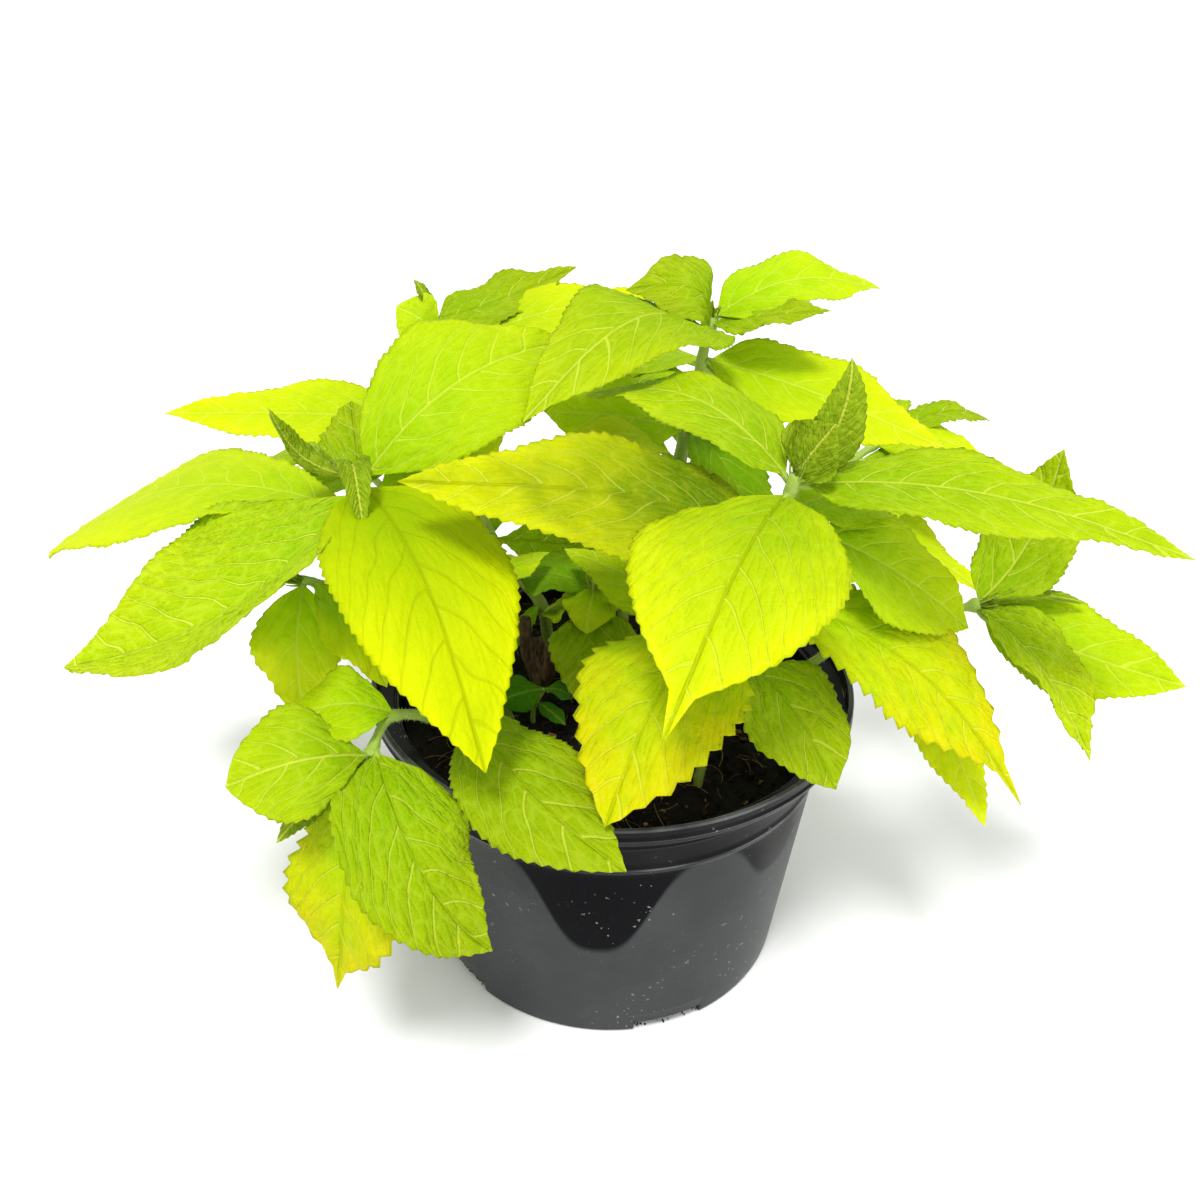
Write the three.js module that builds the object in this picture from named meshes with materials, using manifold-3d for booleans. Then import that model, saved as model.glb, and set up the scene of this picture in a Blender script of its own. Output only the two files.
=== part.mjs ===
// A lime-leaved leucosceptrum in a round black nursery pot, as a set of separate solids.
// Millimetres, +Z up. The origin is the centre of the pot's underside.

import * as THREE from 'three';
import { mergeVertices } from 'three/addons/utils/BufferGeometryUtils.js';
import Module from 'manifold-3d';

const wasm = await Module();
wasm.setup();

// The pot: a squat moulded pot with a turned-out rim and slots in its foot.
const POT = {
  height: 130,
  rimRadius: 100,
  lipDepth: 9,
  shoulderRadius: 90.4,
  wall: 1.6,
  footRadius: 78,
  footWidth: 7,
  footHeight: 2.5,
  footBevel: 1.2,
  padRadius: 16,
  floorThickness: 2,
  sides: 36,
};
const SLOT = { count: 5, firstAngle: 3, width: 30, depth: 12, height: 5.6, centreOut: 1 };

// The raised line round the wall, below the rim.
const RIDGE = { drop: 29, height: 0.9, halfWidth: 0.6, spread: 2 };

// The rim's section, each point as how far in from the rim's outside and how far below its top.
const RIM_SECTION = [
  [1.6, 8.4], [1, 6], [0, 4.8], [0.8, 3.6], [0.3, 0.8], [1, 0], [2.6, 0.4], [3.2, 6.8],
];

// The soil fills the pot to a little below the rim.
const SOIL = {
  top: 116,
  edgeDrop: 2,
  clearance: 0.9,
  underside: 0.4,
  sides: 30,
  rings: [0.96, 0.7, 0.38],
  bump: 1.4,
  seed: 7,
};
const HOLE = { depth: 15, clearance: 0.8, sides: 6 };

// Every blade has this thickness, and a midrib that stands out below it.
const BLADE = { thickness: 0.8, keel: 0.7 };
const STALK = { halfWidth: 1.1, taper: 0.5, bare: 0.8 };

// A blade's rows of corners, from its base to its tip: on the midrib, halfway out and at the margin.
const MIDRIB_STEPS = [0.16, 0.4, 0.7];
const INNER_STEPS = [0.15, 0.34, 0.55, 0.78];
const TOOTH = { first: 0.05, last: 0.95, crest: 0.62, notch: -0.05, point: 0.07, end: -0.03 };
const TIP_TAPER = 1.1;

// A drawn-out tip: its width beside the leaf's, and how softly it joins the blade.
const DRIP = { width: 0.05, blend: 3, from: 0.4 };

// The margin's waves along a leaf. The right half is a little out of step with the left.
const WAVES = { count: 2.2, outOfStep: 0.25, fullness: 1.6, phaseStep: 0.37 };

// The midrib bows highest a little below the middle of the leaf.
const BOW_SKEW = 0.868;
const STEM = { sides: 6, steps: 4, rootDepth: 17, budLength: 5, budRadius: 0.7 };

// A slope on a blade is measured over these steps along and across it.
const SLOPE_STEP = { midrib: 1e-3, along: 0.02, across: 0.1 };

// Triangles thinner than this are tidied away after solids are joined.
const SLIVER = 0.02;

// What a leaf measures where its own line says nothing else.
// at: how far up its stem it grows; tip: where it ends; width: its widest place.
// arch: how far the midrib bows up; sway: how far it bows sideways; roll: bank in degrees.
// fold: how far the two halves lift, in degrees; belly: where it is widest.
// stalk: the share of bare stalk; drip: the share drawn out into a thin tip.
// wave and curl: the margin's swing and droop.
const LEAF = {
  arch: 10, sway: 0, roll: 0, fold: 6, belly: 0.37, stalk: 0.04, drip: 0, wave: 2, curl: 0.1,
};

// A wider leaf has more teeth on each side.
const TEETH = [
  { upTo: 16, count: 2 },
  { upTo: 30, count: 3 },
  { upTo: 46, count: 4 },
  { upTo: 62, count: 5 },
];
const MOST_TEETH = 6;

// The leafy stems. A path starts at the soil and ends at the growing tip.
const STEMS = [
  {
    name: 'stem_front_left',
    path: [[-42, -22, 119], [-62, -22, 160], [-84, -25, 205], [-97, -22, 226]],
    radii: [2.6, 1.5],
    leaves: [
      { at: 0.93, tip: [-40, -108, 160], width: 62, arch: 22, belly: 0.4 },
      { at: 0.94, tip: [-195, -66, 167], width: 96, arch: -7, roll: -1, fold: 27, sway: -17, belly: 0.43 },
      { at: 0.7, tip: [-252, 46, 152], width: 72, arch: 24, roll: -8, fold: 2, belly: 0.56, wave: 1.5 },
      { at: 0.92, tip: [-22, 44, 256], width: 60, arch: 20, roll: 24, belly: 0.44 },
      { at: 0.98, tip: [-121, -30, 253], width: 12, arch: -8, roll: -30, fold: 20, wave: 0.5 },
      { at: 1, tip: [-86, -54, 218], width: 13, arch: 13, fold: 30, wave: 0.5 },
      { at: 0.9, tip: [-104, 18, 238], width: 26, arch: 3 },
      { at: 0.82, tip: [-45, 14, 227], width: 28, arch: 8, roll: 30, belly: 0.5 },
      { at: 0.4, tip: [-27, 8, 180], width: 26, arch: 4, roll: -4, belly: 0.42 },
    ],
  },
  {
    name: 'stem_left_low',
    path: [[-52, -45, 119], [-66, -60, 146], [-79, -72, 154], [-84, -84, 146]],
    radii: [2.2, 1.4],
    leaves: [
      { at: 0.99, tip: [-130, -100, 144], width: 40, arch: 14, roll: -38, belly: 0.52 },
      { at: 0.9, tip: [-39, -113, 84], width: 50, arch: 14, fold: 4, sway: 16, belly: 0.36 },
      { at: 0.97, tip: [-97, -112, 60], width: 46, arch: 14, sway: -6, belly: 0.52, drip: 0.1 },
      { at: 0.99, tip: [-92, -105, 136], width: 16, arch: 3, roll: -20, fold: 14, belly: 0.5, wave: 0.5 },
      { at: 0.96, tip: [-114, -104, 123], width: 13, arch: 4, roll: -20, fold: 16, belly: 0.5, wave: 0.5 },
      { at: 0.6, tip: [-112, -76, 157], width: 29, arch: 8, roll: -22, belly: 0.5 },
    ],
  },
  {
    name: 'stem_left_mid',
    path: [[-62, -10, 119], [-80, -18, 150], [-104, -27, 180], [-116, -34, 188]],
    radii: [2, 1.3],
    leaves: [
      { at: 0.97, tip: [-116, -52, 139], width: 33, arch: 8, belly: 0.42 },
      { at: 0.9, tip: [-83, -53, 154], width: 34, arch: 5, roll: -14, belly: 0.47 },
    ],
  },
  {
    name: 'stem_front_right',
    path: [[30, -28, 119], [42, -34, 165], [54, -40, 215], [60, -42, 240]],
    radii: [2.8, 1.5],
    leaves: [
      { at: 0.9, tip: [15, -128, 190], width: 70, arch: 16, sway: -2, belly: 0.5, drip: 0.12 },
      { at: 0.94, tip: [185, -72, 228], width: 40, arch: 11, roll: 12, belly: 0.36 },
      { at: 0.94, tip: [-15, 20, 242], width: 36, arch: 18, roll: -6, fold: 4, belly: 0.34 },
      { at: 0.98, tip: [75, -32, 278], width: 19, arch: 2, roll: 60, fold: 16, sway: 5, wave: 0.5 },
      { at: 0.98, tip: [70, -46, 260], width: 25, arch: 2, roll: 66, fold: 16, belly: 0.5, wave: 0.5 },
      { at: 0.66, tip: [-72, -62, 242], width: 53, arch: 12, roll: -22, sway: -2 },
      { at: 0.5, tip: [149, -76, 128], width: 45, arch: 14, roll: 22, sway: -9, belly: 0.5, drip: 0.1 },
      { at: 0.34, tip: [-21, 4, 184], width: 34, arch: 6, roll: -6, belly: 0.45 },
      { at: 0.8, tip: [112, 8, 205], width: 32, arch: 8, roll: 20 },
      { at: 0.76, tip: [133, -30, 174], width: 40, arch: 8, roll: 38, belly: 0.46, stalk: 0.14 },
    ],
  },
  {
    name: 'stem_back_right',
    path: [[16, 22, 119], [20, 36, 170], [28, 48, 225], [35, 60, 262]],
    radii: [2.8, 1.5],
    leaves: [
      { at: 0.99, tip: [106, 82, 270], width: 34, arch: 13, roll: 20 },
      { at: 0.96, tip: [0, 50, 275], width: 34, arch: 16, roll: -35, belly: 0.42 },
      { at: 0.98, tip: [78, 34, 274], width: 22, arch: 1, roll: 16, wave: 1 },
      { at: 0.94, tip: [-35, -16, 245], width: 60, arch: 22, roll: -8, fold: 4, belly: 0.3 },
      { at: 0.64, tip: [60, 2, 182], width: 34, arch: 8, belly: 0.45 },
      { at: 0.62, tip: [-31, 40, 227], width: 38, arch: 6, roll: -38, belly: 0.5 },
      { at: 0.56, tip: [66, 104, 182], width: 36 },
      { at: 0.52, tip: [-22, 14, 226], width: 22, arch: 11, roll: -14, fold: 8, belly: 0.5, wave: 1.2 },
      { at: 0.86, tip: [127, 20, 225], width: 45, arch: 4, roll: 22 },
    ],
  },
  {
    name: 'stem_back_left',
    path: [[-30, 40, 119], [-33, 38, 138], [-52, 50, 155], [-62, 62, 176], [-74, 84, 224], [-86, 100, 250]],
    radii: [2.6, 1.5],
    leaves: [
      { at: 0.97, tip: [-22, 114, 267], width: 34, arch: -2, roll: 18 },
      { at: 1, tip: [-93, 104, 262], width: 8, arch: 1, fold: 16, wave: 0.5 },
      { at: 0.93, tip: [-100, 96, 252], width: 24, arch: 3, roll: -45, belly: 0.5, wave: 0.5 },
      { at: 0.86, tip: [12, 96, 260], width: 34, arch: 8, roll: 18, belly: 0.5 },
      { at: 0.82, tip: [-20, 76, 238], width: 44, arch: 8, roll: 18 },
      { at: 0.2, tip: [-44, 20, 123], width: 8, arch: 3, fold: 10, belly: 0.45, wave: 0.5 },
      { at: 0.46, tip: [6, 50, 158], width: 42, arch: 5, roll: 42, belly: 0.58 },
      { at: 0.45, tip: [-95, 110, 165], width: 40, arch: 12 },
      { at: 0.72, tip: [-190, 46, 219], width: 42, arch: 4, roll: -18, belly: 0.42 },
    ],
  },
  {
    name: 'stem_right',
    path: [[62, -8, 119], [88, -8, 148], [121, -10, 166], [142, -10, 173]],
    radii: [2.2, 1.4],
    leaves: [
      { at: 0.97, tip: [169, 12, 230], width: 40, arch: -12, belly: 0.42 },
      { at: 0.98, tip: [217, -36, 155], width: 40, arch: -6, roll: 36, belly: 0.42 },
      { at: 0.96, tip: [177, -60, 137], width: 36, arch: 8, roll: -6, fold: 24 },
      { at: 0.52, tip: [144, -62, 105], width: 30, arch: 8, roll: 10 },
      { at: 1, tip: [184, -10, 175], width: 10, arch: 4, fold: 20, wave: 0.5 },
    ],
  },
  {
    name: 'stem_inner',
    path: [[-13, 9, 119], [-11, 6, 140], [-8, 3, 156], [-8, 0, 170]],
    radii: [1.8, 1.2],
    leaves: [
      { at: 0.97, tip: [-11, -13, 155], width: 22, arch: 4, belly: 0.42 },
      { at: 0.92, tip: [-40, 12, 168], width: 34, arch: 4, belly: 0.52 },
      { at: 0.8, tip: [-30, 10, 150], width: 28, arch: 3, belly: 0.45 },
      { at: 0.68, tip: [-7, -30, 126], width: 36, arch: 7, belly: 0.34 },
    ],
  },
  {
    name: 'stem_basal_left',
    path: [[-42, -30, 119], [-48, -28, 125], [-53, -28, 130]],
    radii: [1.8, 1.3],
    leaves: [
      { at: 0.95, tip: [7, -119, 130], width: 44, arch: 17, roll: 13, fold: -4, sway: 12, belly: 0.57 },
    ],
  },
  {
    name: 'stem_basal_right',
    path: [[34, -56, 119], [38, -50, 146], [37, -40, 178]],
    radii: [1.8, 1.3],
    leaves: [
      { at: 0.98, tip: [-1, -108, 139], width: 58, arch: 15, belly: 0.42 },
      { at: 0.87, tip: [80, -83, 138], width: 47, arch: 11, belly: 0.5, stalk: 0.16 },
    ],
  },
  {
    name: 'stem_back_far_right',
    path: [[48, 42, 119], [72, 66, 160], [104, 84, 190], [124, 95, 200]],
    radii: [2.4, 1.4],
    leaves: [
      { at: 1, tip: [175, 118, 199], width: 16, roll: 14, fold: 4, wave: 1 },
      { at: 0.84, tip: [168, 86, 190], width: 34, roll: 10, fold: 4, wave: 1 },
      { at: 0.7, tip: [198, 66, 174], width: 36, arch: 6, roll: 18 },
      { at: 0.52, tip: [168, 56, 140], width: 36, arch: 4, roll: 10 },
      { at: 0.9, tip: [110, 180, 168], width: 46, arch: 18 },
    ],
  },
  {
    name: 'stem_back_centre',
    path: [[4, 60, 119], [4, 84, 160], [-4, 112, 200], [-8, 128, 212]],
    radii: [2.6, 1.4],
    leaves: [
      { at: 0.97, tip: [-72, 188, 168], width: 52, arch: 22 },
      { at: 0.95, tip: [66, 196, 170], width: 52, arch: 22 },
      { at: 0.9, tip: [-6, 214, 150], width: 54, arch: 24 },
      { at: 0.8, tip: [-88, 118, 186], width: 54 },
      { at: 0.84, tip: [58, 112, 206], width: 34, arch: 8 },
      { at: 1, tip: [-12, 142, 232], width: 16, arch: 3, fold: 16, wave: 0.5 },
    ],
  },
  {
    name: 'stem_back_far_left',
    path: [[-58, 36, 119], [-84, 62, 150], [-112, 88, 170], [-124, 98, 174]],
    radii: [2.2, 1.4],
    leaves: [
      { at: 0.97, tip: [-196, 128, 132], width: 50, arch: 20 },
      { at: 0.93, tip: [-118, 186, 131], width: 46, arch: 20 },
      { at: 0.8, tip: [-180, 60, 128], width: 42, arch: 16 },
      { at: 1, tip: [-132, 104, 194], width: 16, arch: 3, fold: 16, wave: 0.5 },
    ],
  },
];

// A weed seedling with three round leaves.
const SEEDLING = {
  name: 'seedling',
  path: [[-32, -21, 119], [-31, -22, 126], [-27, -22, 134]],
  radii: [1, 0.8],
  leaves: [
    { at: 0.99, tip: [-46, -31, 133], width: 18, arch: 2, roll: -20, belly: 0.52, wave: 0.4 },
    { at: 0.99, tip: [-15, -22, 130], width: 13, arch: 2, roll: 0, belly: 0.52, wave: 0.4 },
    { at: 0.6, tip: [-18, -32, 124], width: 9, arch: 1, belly: 0.5, wave: 0.4 },
  ],
};

// The cut ends of last year's stems, grown together at the root.
const CROWN = {
  name: 'woody_crown',
  root: [-31, 4, 119],
  stubs: [
    { path: [[-31, 4, 119], [-36, 7, 132], [-37, 5, 150]], radii: [3.6, 2.4] },
    { path: [[-31, 4, 119], [-27, 0, 128], [-26, -2, 142]], radii: [3.4, 2.2] },
    { path: [[-31, 4, 119], [-29, 11, 124], [-33, 16, 134]], radii: [3.2, 2] },
  ],
};

const COLOURS = {
  pot: { color: 0x17181a, roughness: 0.32 },
  soil: { color: 0x1d1713, roughness: 0.95 },
  leaf: { color: 0xb9d80a, roughness: 0.62 },
  shadedLeaf: { color: 0x86b010, roughness: 0.62 },
  weed: { color: 0x3f7a1c, roughness: 0.6 },
  wood: { color: 0x5d4632, roughness: 0.9 },
};
const SHADED_STEMS = ['stem_back_centre', 'stem_back_far_left', 'stem_back_far_right'];

// A closed mesh as a solid, with its faces turned outwards and its flat triangles left out.
function solidFromMesh(positions, triangles) {
  const kept = triangles.filter(([a, b, c]) => a !== b && b !== c && a !== c);
  let volume = 0;
  const corner = (i) => new THREE.Vector3().fromArray(positions, 3 * i);
  for (const [a, b, c] of kept) {
    volume += corner(a).dot(corner(b).cross(corner(c)));
  }
  const turned = volume < 0 ? kept.map(([a, b, c]) => [a, c, b]) : kept;
  const mesh = new wasm.Mesh({
    numProp: 3,
    vertProperties: new Float32Array(positions),
    triVerts: new Uint32Array(turned.flat()),
  });
  return new wasm.Manifold(mesh);
}

function solidFromGeometry(geometry) {
  const bare = geometry.clone();
  bare.deleteAttribute('normal');
  bare.deleteAttribute('uv');
  const merged = mergeVertices(bare, 1e-4);
  const index = merged.index.array;
  const triangles = [];
  for (let i = 0; i < index.length; i += 3) {
    triangles.push([index[i], index[i + 1], index[i + 2]]);
  }
  return solidFromMesh(Array.from(merged.attributes.position.array), triangles);
}

// The largest body of a joined solid, without the hair-thin slivers that a join can leave.
function cleanBody(solid) {
  const bodies = solid.decompose();
  const largest = bodies.reduce((best, body) => (body.volume() > best.volume() ? body : best));
  return largest.simplify(SLIVER);
}

function meshFromSolid(name, solid, look) {
  const { numProp, vertProperties, triVerts } = solid.getMesh();
  const positions = [];
  for (let i = 0; i < vertProperties.length; i += numProp) {
    positions.push(vertProperties[i], vertProperties[i + 1], vertProperties[i + 2]);
  }
  const geometry = new THREE.BufferGeometry();
  geometry.setAttribute('position', new THREE.Float32BufferAttribute(positions, 3));
  geometry.setIndex(Array.from(triVerts));
  geometry.computeVertexNormals();
  const mesh = new THREE.Mesh(geometry, new THREE.MeshStandardMaterial({ metalness: 0, ...look }));
  mesh.name = name;
  return mesh;
}

// The same random numbers on every run.
function seededRandom(seed) {
  let state = seed;
  return () => {
    state = (state * 1664525 + 1013904223) % 4294967296;
    return state / 4294967296;
  };
}

// The outside of the pot's wall, which widens evenly from its foot to below its rim.
function wallRadius(z) {
  const slope = (POT.shoulderRadius - POT.footRadius) / (POT.height - POT.lipDepth);
  return POT.footRadius + slope * z;
}

// The pot's section, from the middle of its underside round the outside to the middle of its floor.
function potProfile() {
  const { height, rimRadius, lipDepth, shoulderRadius, wall } = POT;
  const { footRadius, footWidth, footHeight, footBevel, padRadius, floorThickness } = POT;
  const lipFoot = height - lipDepth;
  const ridge = height - RIDGE.drop;
  const floor = footHeight + floorThickness;
  return [
    [0, 0],
    [padRadius, 0],
    [padRadius + footBevel, footHeight],
    [footRadius - footWidth - footBevel, footHeight],
    [footRadius - footWidth, 0],
    [footRadius - footBevel, 0],
    [footRadius, footBevel],
    [wallRadius(ridge - RIDGE.spread), ridge - RIDGE.spread],
    [wallRadius(ridge) + RIDGE.height, ridge - RIDGE.halfWidth],
    [wallRadius(ridge) + RIDGE.height, ridge + RIDGE.halfWidth],
    [wallRadius(ridge + RIDGE.spread), ridge + RIDGE.spread],
    [shoulderRadius, lipFoot],
    ...RIM_SECTION.map(([inset, drop]) => [rimRadius - inset, height - drop]),
    [shoulderRadius - wall, lipFoot + wall],
    [wallRadius(floor) - wall, floor],
    [0, floor],
  ].map(([x, y]) => new THREE.Vector2(x, y));
}

function buildPot() {
  const shell = new THREE.LatheGeometry(potProfile(), POT.sides).rotateX(Math.PI / 2);
  let pot = solidFromGeometry(shell);
  for (let i = 0; i < SLOT.count; i += 1) {
    const angle = THREE.MathUtils.degToRad(SLOT.firstAngle + (360 / SLOT.count) * i);
    const cutter = new THREE.BoxGeometry(SLOT.depth, SLOT.width, 2 * SLOT.height);
    cutter.translate(POT.footRadius + SLOT.centreOut, 0, 0).rotateZ(angle);
    pot = pot.subtract(solidFromGeometry(cutter));
  }
  return pot;
}

// A plug of soil with a crumbly top and a plain hole for each stem.
function buildSoil(stems) {
  const random = seededRandom(SOIL.seed);
  const bottom = POT.footHeight + POT.floorThickness + SOIL.underside;
  const radiusAt = (z) => wallRadius(z) - POT.wall - SOIL.clearance;
  const topRadius = radiusAt(SOIL.top);
  const rings = [
    { radius: radiusAt(bottom), z: bottom, bump: 0 },
    { radius: topRadius, z: SOIL.top - SOIL.edgeDrop, bump: 0 },
    ...SOIL.rings.map((share) => ({ radius: topRadius * share, z: SOIL.top, bump: SOIL.bump })),
  ];
  const positions = [0, 0, bottom];
  for (const ring of rings) {
    for (let k = 0; k < SOIL.sides; k += 1) {
      const angle = (2 * Math.PI * k) / SOIL.sides;
      const lift = ring.bump * (2 * random() - 1);
      positions.push(ring.radius * Math.cos(angle), ring.radius * Math.sin(angle), ring.z + lift);
    }
  }
  positions.push(0, 0, SOIL.top);
  const last = positions.length / 3 - 1;
  const at = (ring, k) => 1 + ring * SOIL.sides + (k % SOIL.sides);
  const triangles = [];
  for (let k = 0; k < SOIL.sides; k += 1) {
    triangles.push([0, at(0, k + 1), at(0, k)]);
    for (let ring = 0; ring < rings.length - 1; ring += 1) {
      triangles.push([at(ring, k), at(ring, k + 1), at(ring + 1, k + 1)]);
      triangles.push([at(ring, k), at(ring + 1, k + 1), at(ring + 1, k)]);
    }
    triangles.push([at(rings.length - 1, k), at(rings.length - 1, k + 1), last]);
  }
  let soil = solidFromMesh(positions, triangles);
  for (const { point, radius } of stems) {
    const hole = new THREE.CylinderGeometry(radius, radius, 2 * HOLE.depth, HOLE.sides);
    hole.rotateX(Math.PI / 2).translate(point[0], point[1], SOIL.top);
    soil = soil.subtract(solidFromGeometry(hole));
  }
  return soil;
}

// A tapered stem with a few flat sides. It goes straight down into the soil below its first point.
function buildStem(path, radii, rooted = true) {
  const points = path.map((p) => new THREE.Vector3(...p));
  const curve = new THREE.CatmullRomCurve3(points);
  const centres = [];
  const sizes = [];
  if (rooted) {
    const foot = points[0].clone();
    foot.z -= STEM.rootDepth;
    centres.push(foot);
    sizes.push(radii[0]);
  }
  for (let i = 0; i <= STEM.steps; i += 1) {
    centres.push(curve.getPoint(i / STEM.steps));
    sizes.push(THREE.MathUtils.lerp(radii[0], radii[1], i / STEM.steps));
  }
  centres.push(curve.getPoint(1).addScaledVector(curve.getTangent(1), STEM.budLength));
  sizes.push(STEM.budRadius);
  const positions = [];
  const triangles = [];
  const back = new THREE.Vector3(0, 1, 0);
  const n = STEM.sides;
  centres.forEach((centre, i) => {
    const before = centres[Math.max(i - 1, 0)];
    const after = centres[Math.min(i + 1, centres.length - 1)];
    const along = after.clone().sub(before).normalize();
    const across = new THREE.Vector3().crossVectors(along, back).normalize();
    const other = new THREE.Vector3().crossVectors(along, across);
    for (let k = 0; k < n; k += 1) {
      const angle = (2 * Math.PI * k) / n;
      const corner = centre.clone()
        .addScaledVector(across, sizes[i] * Math.cos(angle))
        .addScaledVector(other, sizes[i] * Math.sin(angle));
      positions.push(corner.x, corner.y, corner.z);
    }
  });
  for (let i = 0; i < centres.length - 1; i += 1) {
    for (let k = 0; k < n; k += 1) {
      const q = (k + 1) % n;
      triangles.push([i * n + k, i * n + q, (i + 1) * n + q]);
      triangles.push([i * n + k, (i + 1) * n + q, (i + 1) * n + k]);
    }
  }
  const end = (centres.length - 1) * n;
  for (let k = 1; k < n - 1; k += 1) {
    triangles.push([0, k + 1, k]);
    triangles.push([end, end + k, end + k + 1]);
  }
  return { solid: solidFromMesh(positions, triangles), curve };
}

// A leaf's blade as a surface: u runs from its base to its tip, v from its left margin to its right.
class Blade {
  constructor(base, spec) {
    this.spec = { ...LEAF, ...spec };
    this.base = base;
    const chord = new THREE.Vector3(...this.spec.tip).sub(base);
    this.length = chord.length();
    this.along = chord.normalize();
    this.side = new THREE.Vector3().crossVectors(this.along, new THREE.Vector3(0, 0, 1)).normalize();
    this.up = new THREE.Vector3().crossVectors(this.side, this.along);
    const roll = THREE.MathUtils.degToRad(this.spec.roll);
    this.side.applyAxisAngle(this.along, roll);
    this.up.applyAxisAngle(this.along, roll);
  }

  midrib(u) {
    const { arch, sway } = this.spec;
    const rise = Math.sin(Math.PI * u ** BOW_SKEW);
    return this.base.clone()
      .addScaledVector(this.along, this.length * u)
      .addScaledVector(this.up, arch * rise)
      .addScaledVector(this.side, sway * 4 * u * (1 - u));
  }

  axes(u) {
    const ahead = this.midrib(Math.min(u + SLOPE_STEP.midrib, 1));
    const along = ahead.sub(this.midrib(Math.max(u - SLOPE_STEP.midrib, 0))).normalize();
    const side = this.side.clone().addScaledVector(along, -along.dot(this.side)).normalize();
    const up = new THREE.Vector3().crossVectors(side, along);
    return { side, up };
  }

  halfWidth(u) {
    if (u >= 1) {
      return 0;
    }
    const { width, belly, stalk, drip } = this.spec;
    const share = Math.max((u - stalk) / (1 - stalk), 0);
    const t = Math.min(share / (1 - drip), 1);
    const rise = (TIP_TAPER * belly) / (1 - belly);
    let blade = 0.5 * width * (t / belly) ** rise * ((1 - t) / (1 - belly)) ** TIP_TAPER;
    if (drip > 0 && share > DRIP.from) {
      const tail = DRIP.width * width * Math.min(1, (1 - share) / drip);
      blade = (blade ** DRIP.blend + tail ** DRIP.blend) ** (1 / DRIP.blend);
    }
    return Math.max(blade, STALK.halfWidth * (1 - STALK.taper * u));
  }

  point(u, v, tooth = 0) {
    const { width, fold, wave, curl, phase } = this.spec;
    const { side, up } = this.axes(u);
    const half = this.halfWidth(u);
    const across = v * half * (1 + tooth);
    const angle = THREE.MathUtils.degToRad(fold);
    const reach = Math.abs(across);
    const fullness = Math.min(1, (WAVES.fullness * half) / (0.5 * width));
    const turn = WAVES.count * u + phase + (v > 0 ? WAVES.outOfStep : 0);
    const lift = reach * Math.sin(angle) - (curl * reach * reach) / (0.5 * width)
      + wave * v * v * fullness * Math.sin(2 * Math.PI * turn);
    return this.midrib(u)
      .addScaledVector(side, across * Math.cos(angle))
      .addScaledVector(up, lift);
  }

  normal(u, v) {
    const { along, across } = SLOPE_STEP;
    const du = this.point(Math.min(u + along, 1), v).sub(this.point(Math.max(u - along, 0), v));
    const dv = this.point(u, Math.min(v + across, 1)).sub(this.point(u, Math.max(v - across, -1)));
    const normal = dv.cross(du);
    return normal.length() > 1e-9 ? normal.normalize() : this.axes(u).up;
  }
}

// The toothed margin, as steps along the leaf with how far each stands out.
function marginSteps({ stalk, width, drip }) {
  const size = TEETH.find(({ upTo }) => width <= upTo);
  const teeth = size ? size.count : MOST_TEETH;
  const first = stalk + TOOTH.first;
  const last = TOOTH.last * (1 - drip);
  const pitch = (last - first) / teeth;
  const steps = [{ u: STALK.bare * stalk, tooth: 0 }];
  for (let i = 0; i < teeth; i += 1) {
    steps.push({ u: first + pitch * i, tooth: TOOTH.notch });
    steps.push({ u: first + pitch * (i + TOOTH.crest), tooth: TOOTH.point });
  }
  steps.push({ u: last, tooth: TOOTH.end });
  return steps;
}

// One leaf as a thin closed solid. Both faces are split into the same triangles.
function buildLeaf(base, spec) {
  const blade = new Blade(base, spec);
  const upper = [];
  const lower = [];
  const add = (u, v, tooth = 0, keel = 0) => {
    const point = blade.point(u, v, tooth);
    const normal = v === 0 ? blade.axes(u).up : blade.normal(u, v);
    upper.push(point);
    lower.push(point.clone().addScaledVector(normal, -(BLADE.thickness + keel)));
    return { u, i: upper.length - 1 };
  };
  const root = add(0, 0, 0, BLADE.keel);
  const tip = add(1, 0);
  const row = (steps) => [root, ...steps, tip];
  const midrib = row(MIDRIB_STEPS.map((u) => add(u, 0, 0, BLADE.keel)));
  const halves = [-1, 1].map((hand) => ({
    hand,
    inner: row(INNER_STEPS.map((u) => add(u, 0.5 * hand))),
    margin: row(marginSteps(blade.spec).map(({ u, tooth }) => add(u, hand, tooth))),
  }));

  const face = [];
  const stitch = (a, b, flip) => {
    let i = 0;
    let j = 0;
    while (i < a.length - 1 || j < b.length - 1) {
      const stepA = j === b.length - 1 || (i < a.length - 1 && a[i + 1].u <= b[j + 1].u);
      const triangle = stepA ? [a[i].i, a[i + 1].i, b[j].i] : [a[i].i, b[j + 1].i, b[j].i];
      face.push(flip ? [triangle[0], triangle[2], triangle[1]] : triangle);
      i += stepA ? 1 : 0;
      j += stepA ? 0 : 1;
    }
  };
  for (const { hand, inner, margin } of halves) {
    stitch(midrib, inner, hand > 0);
    stitch(inner, margin, hand > 0);
  }

  const n = upper.length;
  const triangles = [...face, ...face.map(([a, b, c]) => [a + n, c + n, b + n])];
  const [left, right] = halves.map(({ margin }) => margin.map(({ i }) => i));
  const rim = [...left, ...right.slice(1, -1).reverse()];
  rim.forEach((a, k) => {
    const b = rim[(k + 1) % rim.length];
    triangles.push([a, b, b + n], [a, b + n, a + n]);
  });
  const positions = [...upper, ...lower].flatMap((p) => p.toArray());
  return solidFromMesh(positions, triangles);
}

// A stem with all its leaves, grown together as one body.
function buildLeafyStem({ path, radii, leaves }) {
  const { solid, curve } = buildStem(path, radii);
  const whole = leaves.reduce((joined, spec, index) => {
    const phase = (WAVES.phaseStep * index) % 1;
    return joined.add(buildLeaf(curve.getPoint(spec.at), { phase, ...spec }));
  }, solid);
  return cleanBody(whole);
}

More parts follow.
